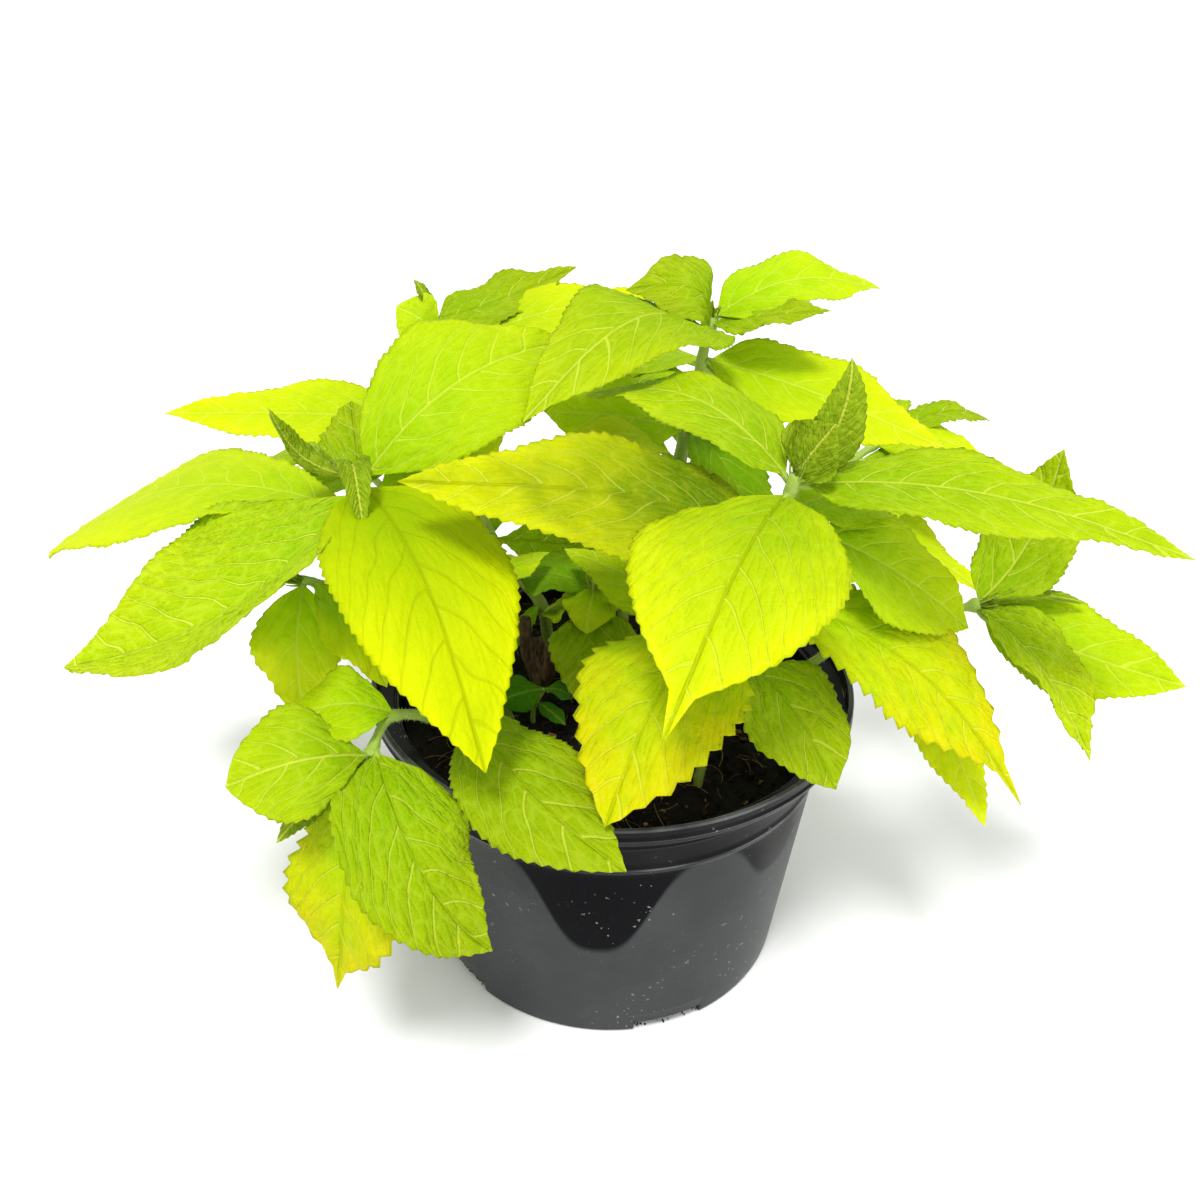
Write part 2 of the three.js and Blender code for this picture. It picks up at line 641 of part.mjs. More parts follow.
function buildCrown() {
  const stubs = CROWN.stubs.map(({ path, radii }) => buildStem(path, radii).solid);
  return cleanBody(stubs.reduce((joined, stub) => joined.add(stub)));
}

function holeFor(path, radius) {
  return { point: path[0], radius: radius + HOLE.clearance };
}

const holes = [...STEMS, SEEDLING].map(({ path, radii }) => holeFor(path, radii[0]));
holes.push(holeFor([CROWN.root], CROWN.stubs[0].radii[0]));

const plant = new THREE.Group();
plant.add(meshFromSolid('pot', buildPot(), COLOURS.pot));
plant.add(meshFromSolid('soil', buildSoil(holes), COLOURS.soil));
for (const stem of STEMS) {
  const look = SHADED_STEMS.includes(stem.name) ? COLOURS.shadedLeaf : COLOURS.leaf;
  plant.add(meshFromSolid(stem.name, buildLeafyStem(stem), look));
}
plant.add(meshFromSolid(SEEDLING.name, buildLeafyStem(SEEDLING), COLOURS.weed));
plant.add(meshFromSolid(CROWN.name, buildCrown(), COLOURS.wood));

export default plant;
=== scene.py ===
# A lime-leaved leucosceptrum in a round black nursery pot.
# The tables give plain sizes in millimetres, and every mesh is made in metres.

import math
from types import SimpleNamespace as Table

import bpy
import numpy as np
from mathutils import Matrix, Vector


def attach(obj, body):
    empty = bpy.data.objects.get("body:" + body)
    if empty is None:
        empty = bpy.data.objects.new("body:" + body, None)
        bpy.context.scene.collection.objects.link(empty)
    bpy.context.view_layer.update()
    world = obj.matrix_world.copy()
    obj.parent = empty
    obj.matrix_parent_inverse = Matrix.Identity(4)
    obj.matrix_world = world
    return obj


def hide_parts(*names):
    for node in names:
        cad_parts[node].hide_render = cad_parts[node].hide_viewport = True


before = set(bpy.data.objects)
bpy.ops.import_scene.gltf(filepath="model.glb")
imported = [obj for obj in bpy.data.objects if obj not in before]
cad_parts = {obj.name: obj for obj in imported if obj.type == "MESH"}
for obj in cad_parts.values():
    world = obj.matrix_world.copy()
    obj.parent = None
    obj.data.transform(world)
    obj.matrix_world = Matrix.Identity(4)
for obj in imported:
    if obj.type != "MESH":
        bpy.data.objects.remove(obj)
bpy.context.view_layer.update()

MM = 0.001
TURN = 2 * math.pi
UP = np.array([0, 0, 1.0])
SCENE = bpy.context.scene
BODY = "root"

# The camera stands where the photograph was taken from.
CAMERA = Table(
    place=(0.0, -0.3993, 0.3999),
    right=(0.999, 0.028, 0.022),
    up=(-0.034, 0.509, 0.860),
    forward=(-0.013, 0.860, -0.510),
    lens=34.5,
    sensor=36.0,
)

# Each light as its name, the way it shines, how far it spreads in degrees and its strength.
LIGHTS = [
    ("key", (0.12, 0.42, -0.90), 14.0, 2.3),
    ("fill", (-0.5, 0.6, -0.62), 60.0, 0.6),
]
SKY_STRENGTH = 0.9
FLOOR_REACH_M = 40.0

# The pot, with the sizes of the solid that it replaces.
POT = Table(
    height=130.0, lip_depth=9.0, shoulder=90.4, wall=1.6, foot=78.0, foot_width=7.0,
    foot_height=2.5, bevel=1.2, pad=16.0, floor=2.0, ridge_drop=29.0, ridge_height=0.9,
    ridge_half=2.4, sides=264, longest_face=9.0,
)
# The rolled rim: each corner's radius, its height and how far it is rounded.
# The outside is measured up from the shoulder, and the top down from the pot's full height.
RIM_OUTSIDE = [(98.4, 0.6, 0.7), (99.0, 3.0, 0.4), (100.0, 4.2, 0.5), (99.2, 5.4, 0.4)]
RIM_TOP = [(99.7, 0.8, 0.5), (99.0, 0.0, 0.5), (97.4, 0.4, 0.5)]
# The fine line below the shoulder: how far down, how far it stands out and how far it is rounded.
WALL_LINE = [(9.5, 0.0, 0.4), (8.8, 0.35, 0.25), (8.1, 0.0, 0.4)]

SLOT = Table(count=5, first=3.0, width=30.0, depth=12.0, height=5.6, centre_out=1.0)
SLOT_TURNS = [math.radians(SLOT.first + 360.0 / SLOT.count * k) for k in range(SLOT.count)]

SOIL = Table(top=116.0, radius=87.2, bottom=4.9, bottom_radius=76.0, sides=180, rings=56)
# How high and how wide the soil's heaps, lumps and crumbs are, with the seed of each.
SOIL_WAVES = [(1.3, 46.0, 1), (0.9, 12.0, 2), (0.45, 4.5, 3)]
# The loose bits: small, middling and large chips with the share of each, and the fine roots.
CHIP_COUNT = 1500
CHIP_SIZES = [(0.6, 1.6), (1.6, 3.4), (3.5, 6.5)]
CHIP_SHARES = [0.55, 0.35, 0.10]
CHIPS_IN_SLOT = 70
FIBRE_COUNT = 230

# The painted light on the pot: the upper edge in metres of the paler painted reflection on its lower wall,
# the heights of its painted highlight lines, and each scallop of painted leaf shadow in that edge:
# its middle and spread in radians round the pot from the front, with its depth in metres.
PAINTED_LIGHT = Table(
    top=0.101,
    worn=[0.1295, 0.1212, 0.1012],
    scallops=[(-0.03, 0.27, 0.047), (0.88, 0.22, 0.026), (1.7, 0.36, 0.040), (-1.05, 0.30, 0.034),
                 (-1.9, 0.34, 0.046), (2.6, 0.30, 0.030), (-2.8, 0.28, 0.038)],
)

# The colours apart from those of the blades, as screen values from 0 to 255.
COLOURS = dict(
    young_stem=(172, 204, 84), old_stem=(134, 160, 48), pale_rib=(190, 205, 110), stub=(104, 82, 56),
    soil=(20, 15, 12), dark_chip=(26, 19, 13), bark_chip=(60, 40, 27), tan_chip=(140, 106, 72),
    fibre=(150, 120, 84),
)

# Each leaf's surface repeats that of the solid it replaces.
BOW_SKEW = 0.868
TIP_TAPER = 1.1
STALK = Table(half=1.1, taper=0.5)
DRIP = Table(width=0.05, blend=3.0, start=0.4)
WAVES = Table(count=2.2, out_of_step=0.25, fullness=1.6, phase_step=0.37)
THICKNESS = 0.34

# A blade's cells from its midrib to its margin: their size, their fewest and most, and the last one's place.
CELLS = Table(size=1.42, fewest=4, most=24, last=0.94)
# The teeth: where along the leaf they start and end, their fewest, their size and how slowly it fades.
TEETH = Table(first=0.07, last=0.975, fewest=5, size=0.078, most=0.09, fade=3.0)
# The outline of one tooth, as shares of its step and of its size.
TOOTH = ((0.0, 0.0), (0.36, 0.5), (0.72, 1.0), (0.88, 0.45))
# The side veins: how far they run forward, how much they bend and crowd, and how uneven they are.
VEINS = Table(lead=0.72, bend=1.05, crowding=0.85, out_of_step=0.42, wobble=0.10)
# The midrib: its thickness at its base and tip, the power by which it narrows, its end and its steps.
RIB = Table(base=1.12, tip=0.12, power=0.55, end=0.94, steps=26)
# The hairs of each part: how many stand on a millimetre and how long they are.
HAIRS = {"stem": (12.0, 1.4), "stalk": (10.0, 1.2), "blade": (5.0, 1.2), "bud": (14.0, 1.3)}
HAIR_HALF_WIDTH = 0.07
HAIR_TONE = (0.72, 0.76, 0.55)
# A bud's leaflets: how many, how far the first reaches on and out, and how much less the next ones do.
BUD = Table(leaflets=4, reach=7.5, shorter=1.0, out=3.4, closer=0.5, width=3.6)
# A stem's steps along its curve and along its buried foot, and its sides; the same for the stubs.
STEM_STEPS, STEM_FOOT_STEPS, STEM_SIDES = 60, 8, 16
STUB_STEPS, STUB_FOOT_STEPS, STUB_SIDES = 40, 6, 20
ROOT_DEPTH = 17.0
# How many of its steps a stem's swelling at a leaf reaches to either side.
JOINT_REACH = 2.2

# What a leaf looks like, in the order of the names. Colours are screen values from 0 to 255.
# veins and rib: how much paler (above 0) or darker (below 0) they are than the blade.
# quilt: how far the blade swells between its veins. tooth and spacing: the steps between its teeth
# and between its side veins, all in mm. relief: how deep its fine net of veins is pressed in.
LOOK_NAMES = ("base", "tip", "veins", "rib", "mottle", "quilt", "tooth", "spacing", "relief")
LOOK_ROWS = {
    "gold": ((166, 196, 0), (230, 236, 0), -0.5, -0.75, 0.2, 0.5, 3.7, 16, 0.45),
    "blaze": ((162, 196, 0), (230, 238, 0), 0.45, -0.65, 0.25, 0.6, 3.7, 14, 0.7),
    "sun": ((184, 218, 2), (230, 238, 4), 0.5, 0.6, 0.3, 0.5, 3.6, 15, 0.45),
    "bright": ((172, 212, 0), (204, 226, 0), 0.6, 0.6, 0.25, 0.6, 3.3, 15, 0.55),
    "lime": ((150, 188, 0), (188, 212, 0), 0.75, 0.8, 0.25, 0.7, 3.3, 14, 0.65),
    "quilted": ((164, 204, 0), (198, 218, 0), 1.0, 0.7, 0.35, 1.25, 3.8, 14, 0.9),
    "turning": ((186, 218, 0), (224, 216, 0), 0.5, -0.3, 0.6, 0.9, 6.2, 14, 0.7),
    # The next look's dark olive base is partly the leaf's own colour and partly painted shade from the
    # leaves above it.
    "olive": ((110, 142, 0), (222, 228, 0), 0.5, -0.5, 0.5, 0.9, 4.2, 15, 0.65),
    "shade": ((152, 190, 0), (164, 188, 0), 0.7, -0.3, 0.3, 0.85, 3.9, 15, 0.8),
    "deep": ((118, 168, 0), (132, 176, 0), 0.35, 0.2, 0.3, 0.55, 4.2, 14, 0.5),
    "young": ((138, 172, 14), (146, 178, 12), 0.9, 1.0, 0.2, 0.8, 2.8, 2.8, 0.9),
    "weed": ((66, 132, 20), (52, 116, 16), 0.15, 0.3, 0.2, 0.15, 6, 8, 0.2),
}
LOOKS = {name: Table(**dict(zip(LOOK_NAMES, row))) for name, row in LOOK_ROWS.items()}


# The rest of a leaf's shape, unless its own row says otherwise. fold is in degrees, as is a leaf's roll.
SHAPE = dict(sway=0, fold=6, belly=0.37, stalk=0.04, drip=0, wave=2, curl=0.1)


def leaf(at, tip, width, look, arch=10, roll=0, **shape):
    """One leaf: how far up its stem it grows, where it ends, its width and look, its arch and its roll."""
    return Table(at=at, tip=tip, width=width, look=look, arch=arch, roll=roll, **{**SHAPE, **shape})


def stem(path, radii, *leaves):
    """One stem: the points it grows through, its radius at both ends and its leaves."""
    return Table(path=path, radii=radii, leaves=leaves)


STEMS = {
    "stem_front_left": stem(
        [(-42, -22, 119), (-62, -22, 160), (-84, -25, 205), (-97, -22, 226)], (2.6, 1.5),
        leaf(0.93, (-40, -108, 160), 62, "gold", 22, belly=0.4),
        leaf(0.94, (-195, -66, 167), 96, "quilted", -7, -1, fold=27, sway=-17, belly=0.43),
        leaf(0.7, (-252, 46, 152), 72, "sun", 24, -8, fold=2, belly=0.56, wave=1.5),
        leaf(0.92, (-22, 44, 256), 60, "bright", 20, 24, belly=0.44),
        leaf(0.98, (-121, -30, 253), 12, "young", -8, -30, fold=20, wave=0.5),
        leaf(1, (-86, -54, 218), 13, "young", 13, fold=30, wave=0.5),
        leaf(0.9, (-104, 18, 238), 26, "shade", 3),
        leaf(0.82, (-45, 14, 227), 28, "sun", 8, 30, belly=0.5),
        leaf(0.4, (-27, 8, 180), 26, "bright", 4, -4, belly=0.42),
    ),
    "stem_left_low": stem(
        [(-52, -45, 119), (-66, -60, 146), (-79, -72, 154), (-84, -84, 146)], (2.2, 1.4),
        leaf(0.99, (-130, -100, 144), 40, "lime", 14, -38, belly=0.52),
        leaf(0.9, (-39, -113, 84), 50, "shade", 14, fold=4, sway=16, belly=0.36),
        leaf(0.97, (-97, -112, 60), 46, "turning", 14, sway=-6, belly=0.52, drip=0.1),
        leaf(0.99, (-92, -105, 136), 16, "young", 3, -20, fold=14, belly=0.5, wave=0.5),
        leaf(0.96, (-114, -104, 123), 13, "young", 4, -20, fold=16, belly=0.5, wave=0.5),
        leaf(0.6, (-112, -76, 157), 29, "bright", 8, -22, belly=0.5),
    ),
    "stem_left_mid": stem(
        [(-62, -10, 119), (-80, -18, 150), (-104, -27, 180), (-116, -34, 188)], (2, 1.3),
        leaf(0.97, (-116, -52, 139), 33, "sun", 8, belly=0.42),
        leaf(0.9, (-83, -53, 154), 34, "sun", 5, -14, belly=0.47),
    ),
    "stem_front_right": stem(
        [(30, -28, 119), (42, -34, 165), (54, -40, 215), (60, -42, 240)], (2.8, 1.5),
        leaf(0.9, (15, -128, 190), 70, "blaze", 16, sway=-2, belly=0.5, drip=0.12),
        leaf(0.94, (185, -72, 228), 40, "lime", 11, 12, belly=0.36),
        leaf(0.94, (-15, 20, 242), 36, "lime", 18, -6, fold=4, belly=0.34),
        leaf(0.98, (75, -32, 278), 19, "young", 2, 60, fold=16, sway=5, wave=0.5),
        leaf(0.98, (70, -46, 260), 25, "young", 2, 66, fold=16, belly=0.5, wave=0.5),
        # This leaf's dark base is partly painted shade.
        leaf(0.66, (-72, -62, 242), 53, "olive", 12, -22, sway=-2),
        leaf(0.5, (149, -76, 128), 45, "turning", 14, 22, sway=-9, belly=0.5, drip=0.1),
        leaf(0.34, (-21, 4, 184), 34, "bright", 6, -6, belly=0.45),
        leaf(0.8, (112, 8, 205), 32, "bright", 8, 20),
        leaf(0.76, (133, -30, 174), 40, "bright", 8, 38, belly=0.46, stalk=0.14),
    ),
    "stem_back_right": stem(
        [(16, 22, 119), (20, 36, 170), (28, 48, 225), (35, 60, 262)], (2.8, 1.5),
        leaf(0.99, (106, 82, 270), 34, "bright", 13, 20),
        leaf(0.96, (0, 50, 275), 34, "shade", 16, -35, belly=0.42),
        leaf(0.98, (78, 34, 274), 22, "shade", 1, 16, wave=1),
        leaf(0.94, (-35, -16, 245), 60, "lime", 22, -8, fold=4, belly=0.3),
        leaf(0.64, (60, 2, 182), 34, "deep", 8, belly=0.45),
        leaf(0.62, (-31, 40, 227), 38, "bright", 6, -38, belly=0.5),
        leaf(0.56, (66, 104, 182), 36, "shade"),
        leaf(0.52, (-22, 14, 226), 22, "sun", 11, -14, fold=8, belly=0.5, wave=1.2),
        leaf(0.86, (127, 20, 225), 45, "sun", 4, 22),
    ),
    "stem_back_left": stem(
        [(-30, 40, 119), (-33, 38, 138), (-52, 50, 155), (-62, 62, 176), (-74, 84, 224),
         (-86, 100, 250)], (2.6, 1.5),
        leaf(0.97, (-22, 114, 267), 34, "shade", -2, 18),
        leaf(1, (-93, 104, 262), 8, "young", 1, fold=16, wave=0.5),
        leaf(0.93, (-100, 96, 252), 24, "bright", 3, -45, belly=0.5, wave=0.5),
        leaf(0.86, (12, 96, 260), 34, "sun", 8, 18, belly=0.5),
        leaf(0.82, (-20, 76, 238), 44, "sun", 8, 18),
        leaf(0.2, (-44, 20, 123), 8, "deep", 3, fold=10, belly=0.45, wave=0.5),
        leaf(0.46, (6, 50, 158), 42, "shade", 5, 42, belly=0.58),
        leaf(0.45, (-95, 110, 165), 40, "shade", 12),
        leaf(0.72, (-190, 46, 219), 42, "sun", 4, -18, belly=0.42),
    ),
    "stem_right": stem(
        [(62, -8, 119), (88, -8, 148), (121, -10, 166), (142, -10, 173)], (2.2, 1.4),
        leaf(0.97, (169, 12, 230), 40, "lime", -12, belly=0.42),
        leaf(0.98, (217, -36, 155), 40, "bright", -6, 36, belly=0.42),
        leaf(0.96, (177, -60, 137), 36, "quilted", 8, -6, fold=24),
        leaf(0.52, (144, -62, 105), 30, "sun", 8, 10),
        leaf(1, (184, -10, 175), 10, "young", 4, fold=20, wave=0.5),
    ),
    "stem_inner": stem(
        [(-13, 9, 119), (-11, 6, 140), (-8, 3, 156), (-8, 0, 170)], (1.8, 1.2),
        leaf(0.97, (-11, -13, 155), 22, "bright", 4, belly=0.42),
        leaf(0.92, (-40, 12, 168), 34, "deep", 4, belly=0.52),
        leaf(0.8, (-30, 10, 150), 28, "shade", 3, belly=0.45),
        leaf(0.68, (-7, -30, 126), 36, "shade", 7, belly=0.34),
    ),
    "stem_basal_left": stem(
        [(-42, -30, 119), (-48, -28, 125), (-53, -28, 130)], (1.8, 1.3),
        leaf(0.95, (7, -119, 130), 44, "shade", 17, 13, fold=-4, sway=12, belly=0.57),
    ),
    "stem_basal_right": stem(
        [(34, -56, 119), (38, -50, 146), (37, -40, 178)], (1.8, 1.3),
        leaf(0.98, (-1, -108, 139), 58, "turning", 15, belly=0.42),
        leaf(0.87, (80, -83, 138), 47, "shade", 11, belly=0.5, stalk=0.16),
    ),
    "stem_back_far_right": stem(
        [(48, 42, 119), (72, 66, 160), (104, 84, 190), (124, 95, 200)], (2.4, 1.4),
        leaf(1, (175, 118, 199), 16, "shade", roll=14, fold=4, wave=1),
        leaf(0.84, (168, 86, 190), 34, "sun", roll=10, fold=4, wave=1),
        leaf(0.7, (198, 66, 174), 36, "shade", 6, 18),
        leaf(0.52, (168, 56, 140), 36, "sun", 4, 10),
        leaf(0.9, (110, 180, 168), 46, "quilted", 18),
    ),
    "stem_back_centre": stem(
        [(4, 60, 119), (4, 84, 160), (-4, 112, 200), (-8, 128, 212)], (2.6, 1.4),
        leaf(0.97, (-72, 188, 168), 52, "quilted", 22),
        leaf(0.95, (66, 196, 170), 52, "lime", 22),
        leaf(0.9, (-6, 214, 150), 54, "gold", 24),
        leaf(0.8, (-88, 118, 186), 54, "shade"),
        leaf(0.84, (58, 112, 206), 34, "lime", 8),
        leaf(1, (-12, 142, 232), 16, "young", 3, fold=16, wave=0.5),
    ),
    "stem_back_far_left": stem(
        [(-58, 36, 119), (-84, 62, 150), (-112, 88, 170), (-124, 98, 174)], (2.2, 1.4),
        leaf(0.97, (-196, 128, 132), 50, "lime", 20),
        leaf(0.93, (-118, 186, 131), 46, "quilted", 20),
        leaf(0.8, (-180, 60, 128), 42, "shade", 16),
        leaf(1, (-132, 104, 194), 16, "young", 3, fold=16, wave=0.5),
    ),
    "seedling": stem(
        [(-32, -21, 119), (-31, -22, 126), (-27, -22, 134)], (1, 0.8),
        leaf(0.99, (-46, -31, 133), 18, "weed", 2, -20, belly=0.52, wave=0.4),
        leaf(0.99, (-15, -22, 130), 13, "weed", 2, belly=0.52, wave=0.4),
        leaf(0.6, (-18, -32, 124), 9, "weed", 1, belly=0.5, wave=0.4),
    ),
}

# The cut ends of last year's stems.
STUBS = [
    stem([(-31, 4, 119), (-36, 7, 132), (-37, 5, 150)], (3.6, 2.4)),
    stem([(-31, 4, 119), (-27, 0, 128), (-26, -2, 142)], (3.4, 2.2)),
    stem([(-31, 4, 119), (-29, 11, 124), (-33, 16, 134)], (3.2, 2.0)),
]


def unit(v):
    v = np.asarray(v, float)
    return v / np.maximum(np.linalg.norm(v, axis=-1, keepdims=True), 1e-12)


def linear(rgb):
    """A screen colour as the linear one that a shader takes."""
    c = np.asarray(rgb, float) / 255.0
    return np.where(c <= 0.04045, c / 12.92, ((c + 0.055) / 1.055) ** 2.4)


TONES = Table(**{name: linear(colour) for name, colour in COLOURS.items()})


def smoothstep(low, high, x):
    t = np.clip((x - low) / (high - low), 0.0, 1.0)
    return t * t * (3.0 - 2.0 * t)


def ripple(points, length, seed, octaves=3, waves=5):
    """A smooth random field, about -1 to 1, that varies over the given length."""
    rng = np.random.default_rng(seed)
    out = np.zeros(len(points))
    for k in range(octaves * waves):
        size = length / (1.0 + k // waves * 0.9)
        way = unit(rng.normal(size=3))
        out += np.sin(points @ way * (TURN / size) + rng.uniform(0, TURN))
    return out / math.sqrt(octaves * waves)


def placed(name, data):
    """A new object in the scene, made of the given data."""
    thing = bpy.data.objects.new(name, data)
    SCENE.collection.objects.link(thing)
    return thing


class Mesh:
    """Vertices, faces and vertex attributes, gathered piece by piece."""

    def __init__(self):
        self.points, self.faces, self.material = [], [], []
        self.layers = {}
        self.count = 0

    def add(self, points, faces, material=0, **layers):
        """Takes lists or grids of points, and for each layer as many values or one for all."""
        points = np.asarray(points, float).reshape(-1, 3)
        self.points.append(points)
        for face in faces:
            self.faces.append(np.asarray(face) + self.count)
            self.material.append(np.full(len(face), material))
        for name, values in layers.items():
            values = np.broadcast_to(np.asarray(values, float).reshape(-1, 3), points.shape)
            self.layers.setdefault(name, []).append((self.count, values))
        self.count += len(points)

    def build(self, name, materials, replaced):
        points = np.concatenate(self.points) * MM
        faces = [face for block in self.faces for face in block.tolist()]
        mesh = bpy.data.meshes.new(name)
        mesh.from_pydata(points, [], faces, shade_flat=False)
        mesh.polygons.foreach_set("material_index", np.concatenate(self.material).astype(np.int32))
        for layer, parts in self.layers.items():
            values = np.zeros((len(points), 3), np.float32)
            for start, part in parts:
                values[start:start + len(part)] = part
            mesh.attributes.new(layer, "FLOAT_VECTOR", "POINT").data.foreach_set("vector", values.ravel())
        for material in materials:
            mesh.materials.append(material)
        mesh.validate()
        piece = placed(name, mesh)
        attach(piece, BODY)
        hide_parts(*replaced)
        return piece


def grid_faces(rows, columns, start=0, flip=False, wrap=False):
    """The four-sided faces of a grid of points, row by row."""
    i = np.arange(rows - 1)[:, None]
    j = np.arange(columns if wrap else columns - 1)[None, :]
    after = (j + 1) % columns
    a, b = i * columns + j, i * columns + after
    quads = np.stack([a, b, b + columns, a + columns], axis=-1).reshape(-1, 4) + start
    return quads[:, ::-1] if flip else quads


def closed_rings(rings, ends, flip=False):
    """Rings joined into a wall, with a fan of faces to a point at either end, as points and faces."""
    rows, sides = rings.shape[:2]
    count = rows * sides
    last = count - sides
    j = np.arange(sides)
    after = (j + 1) % sides
    faces = [
        grid_faces(rows, sides, wrap=True),
        np.stack([np.full(sides, count), after, j], axis=-1),
        np.stack([np.full(sides, count + 1), last + j, last + after], axis=-1),
    ]
    if flip:
        faces = [face[:, ::-1] for face in faces]
    return np.concatenate([rings.reshape(-1, 3), ends]), faces


def circle(sides):
    """Points evenly round a circle of radius 1."""
    angle = np.arange(sides) * TURN / sides
    return np.stack([np.cos(angle), np.sin(angle)], axis=-1)


def tube(path, radii, sides=8, squareness=0.0):
    """A round bar along a path, as points and faces."""
    path = np.asarray(path, float)
    radii = np.broadcast_to(np.asarray(radii, float), (len(path),))
    along = unit(np.gradient(path, axis=0))
    across = np.zeros_like(path)
    ref = np.array([0.0, 1.0, 0.0]) if abs(along[0][1]) < 0.9 else np.array([1.0, 0.0, 0.0])
    for k, t in enumerate(along):
        ref = unit(ref - t * (t @ ref))
        across[k] = ref
    other = np.cross(along, across)
    angle = np.arange(sides) * TURN / sides
    swell = 1.0 + squareness * np.cos(4 * angle)
    ring = radii[:, None, None] * swell[None, :, None] * (
        np.cos(angle)[None, :, None] * across[:, None] + np.sin(angle)[None, :, None] * other[:, None])
    points = (path[:, None] + ring).reshape(-1, 3)
    ends = np.arange(sides)
    faces = [grid_faces(len(path), sides, wrap=True, flip=True), ends[None, :],
             (ends + (len(path) - 1) * sides)[None, ::-1]]
    return points, faces


def spline(points, count):
    """A centripetal curve through the points, as the solid's stems have."""
    pts = [np.asarray(p, float) for p in points]
    pts = [2 * pts[0] - pts[1]] + pts + [2 * pts[-1] - pts[-2]]
    out = []
    for s in np.linspace(0, len(points) - 1, count):
        k = min(int(s), len(points) - 2)
        w = s - k
        p0, p1, p2, p3 = pts[k:k + 4]
        d0, d1, d2 = (max(np.linalg.norm(b - a), 1e-6) ** 0.5 for a, b in ((p0, p1), (p1, p2), (p2, p3)))
        m1 = ((p1 - p0) / d0 - (p2 - p0) / (d0 + d1) + (p2 - p1) / d1) * d1
        m2 = ((p2 - p1) / d1 - (p3 - p1) / (d1 + d2) + (p3 - p2) / d2) * d1
        out.append(p1 + m1 * w + (-3 * p1 + 3 * p2 - 2 * m1 - m2) * w ** 2
                   + (2 * p1 - 2 * p2 + m1 + m2) * w ** 3)
    return np.array(out)


def rooted(plan, steps, foot_steps):
    """A stem's curve, and the same with its buried foot, with the radius at each step."""
    curve = spline(plan.path, steps)
    foot = curve[0] - UP * np.linspace(ROOT_DEPTH, 1, foot_steps)[:, None]
    first, last = plan.radii
    radii = first + (last - first) * np.linspace(0, 1, steps)
    return curve, np.concatenate([foot, curve]), np.concatenate([np.full(foot_steps, first), radii])


def along_path(at, run, values):
    """Points or directions between those given, each of which lies at its own place of the run."""
    return np.stack([np.interp(at, run, column) for column in values.T], axis=-1)


class Blade:
    """A leaf's surface, the same as that of its solid."""

    def __init__(self, base, spec):
        self.s = spec
        self.base = np.asarray(base, float)
        chord = np.asarray(spec.tip, float) - self.base
        self.length = float(np.linalg.norm(chord))
        self.along = chord / self.length
        side = unit(np.cross(self.along, (0, 0, 1)))
        up = np.cross(side, self.along)
        roll = math.radians(spec.roll)
        self.side = side * math.cos(roll) + np.cross(self.along, side) * math.sin(roll)
        self.up = up * math.cos(roll) + np.cross(self.along, up) * math.sin(roll)

    def midrib(self, u):
        u = np.asarray(u, float)[..., None]
        rise = np.sin(math.pi * np.clip(u, 0, 1) ** BOW_SKEW)
        return (self.base + self.along * self.length * u + self.up * self.s.arch * rise
                + self.side * self.s.sway * 4 * u * (1 - u))

    def axes(self, u):
        along = unit(self.midrib(np.minimum(u + 1e-3, 1)) - self.midrib(np.maximum(u - 1e-3, 0)))
        side = unit(self.side - along * (along @ self.side)[..., None])
        return along, side, np.cross(side, along)

    def half_width(self, u):
        s = self.s
        share = np.clip((u - s.stalk) / (1 - s.stalk), 0, 1)
        t = np.minimum(share / (1 - s.drip), 1)
        rise = TIP_TAPER * s.belly / (1 - s.belly)
        blade = 0.5 * s.width * (t / s.belly) ** rise * ((1 - t) / (1 - s.belly)) ** TIP_TAPER
        if s.drip > 0:
            tail = DRIP.width * s.width * np.minimum(1, (1 - share) / s.drip)
            drawn = (blade ** DRIP.blend + tail ** DRIP.blend) ** (1 / DRIP.blend)
            blade = np.where(share > DRIP.start, drawn, blade)
        return np.maximum(blade, np.where(u < 0.5, STALK.half * (1 - STALK.taper * u), 0.1))


def tooth_rows(spec, length):
    """Steps along a leaf, set so that each tooth of its margin has four, and how far each stands out."""
    first, last = spec.stalk + TEETH.first, TEETH.last * (1 - spec.drip)
    pitch = LOOKS[spec.look].tooth
    teeth = max(TEETH.fewest, int(round((last - first) * length / pitch)))
    smooth = spec.look == "weed"
    size = 0.0 if smooth else min(TEETH.size * pitch ** 2, TEETH.most * spec.width)
    step = (last - first) / teeth
    rows, out = [0.0, 0.35 * spec.stalk, 0.7 * spec.stalk, spec.stalk], [0.0] * 4
    for k in range(teeth):
        fade = min(1.0, (k + 1) / TEETH.fade, (teeth - k) / TEETH.fade)
        for part, height in TOOTH:
            rows.append(first + step * (k + part))
            out.append(size * height * fade)
    # The tip beyond the last tooth is smooth, and stops just short of a point.
    end = np.linspace(last, 1.0, 3 + int(spec.drip * 40))
    end[-1] = 0.997
    return np.concatenate([rows, end]), np.concatenate([out, np.zeros(len(end))])


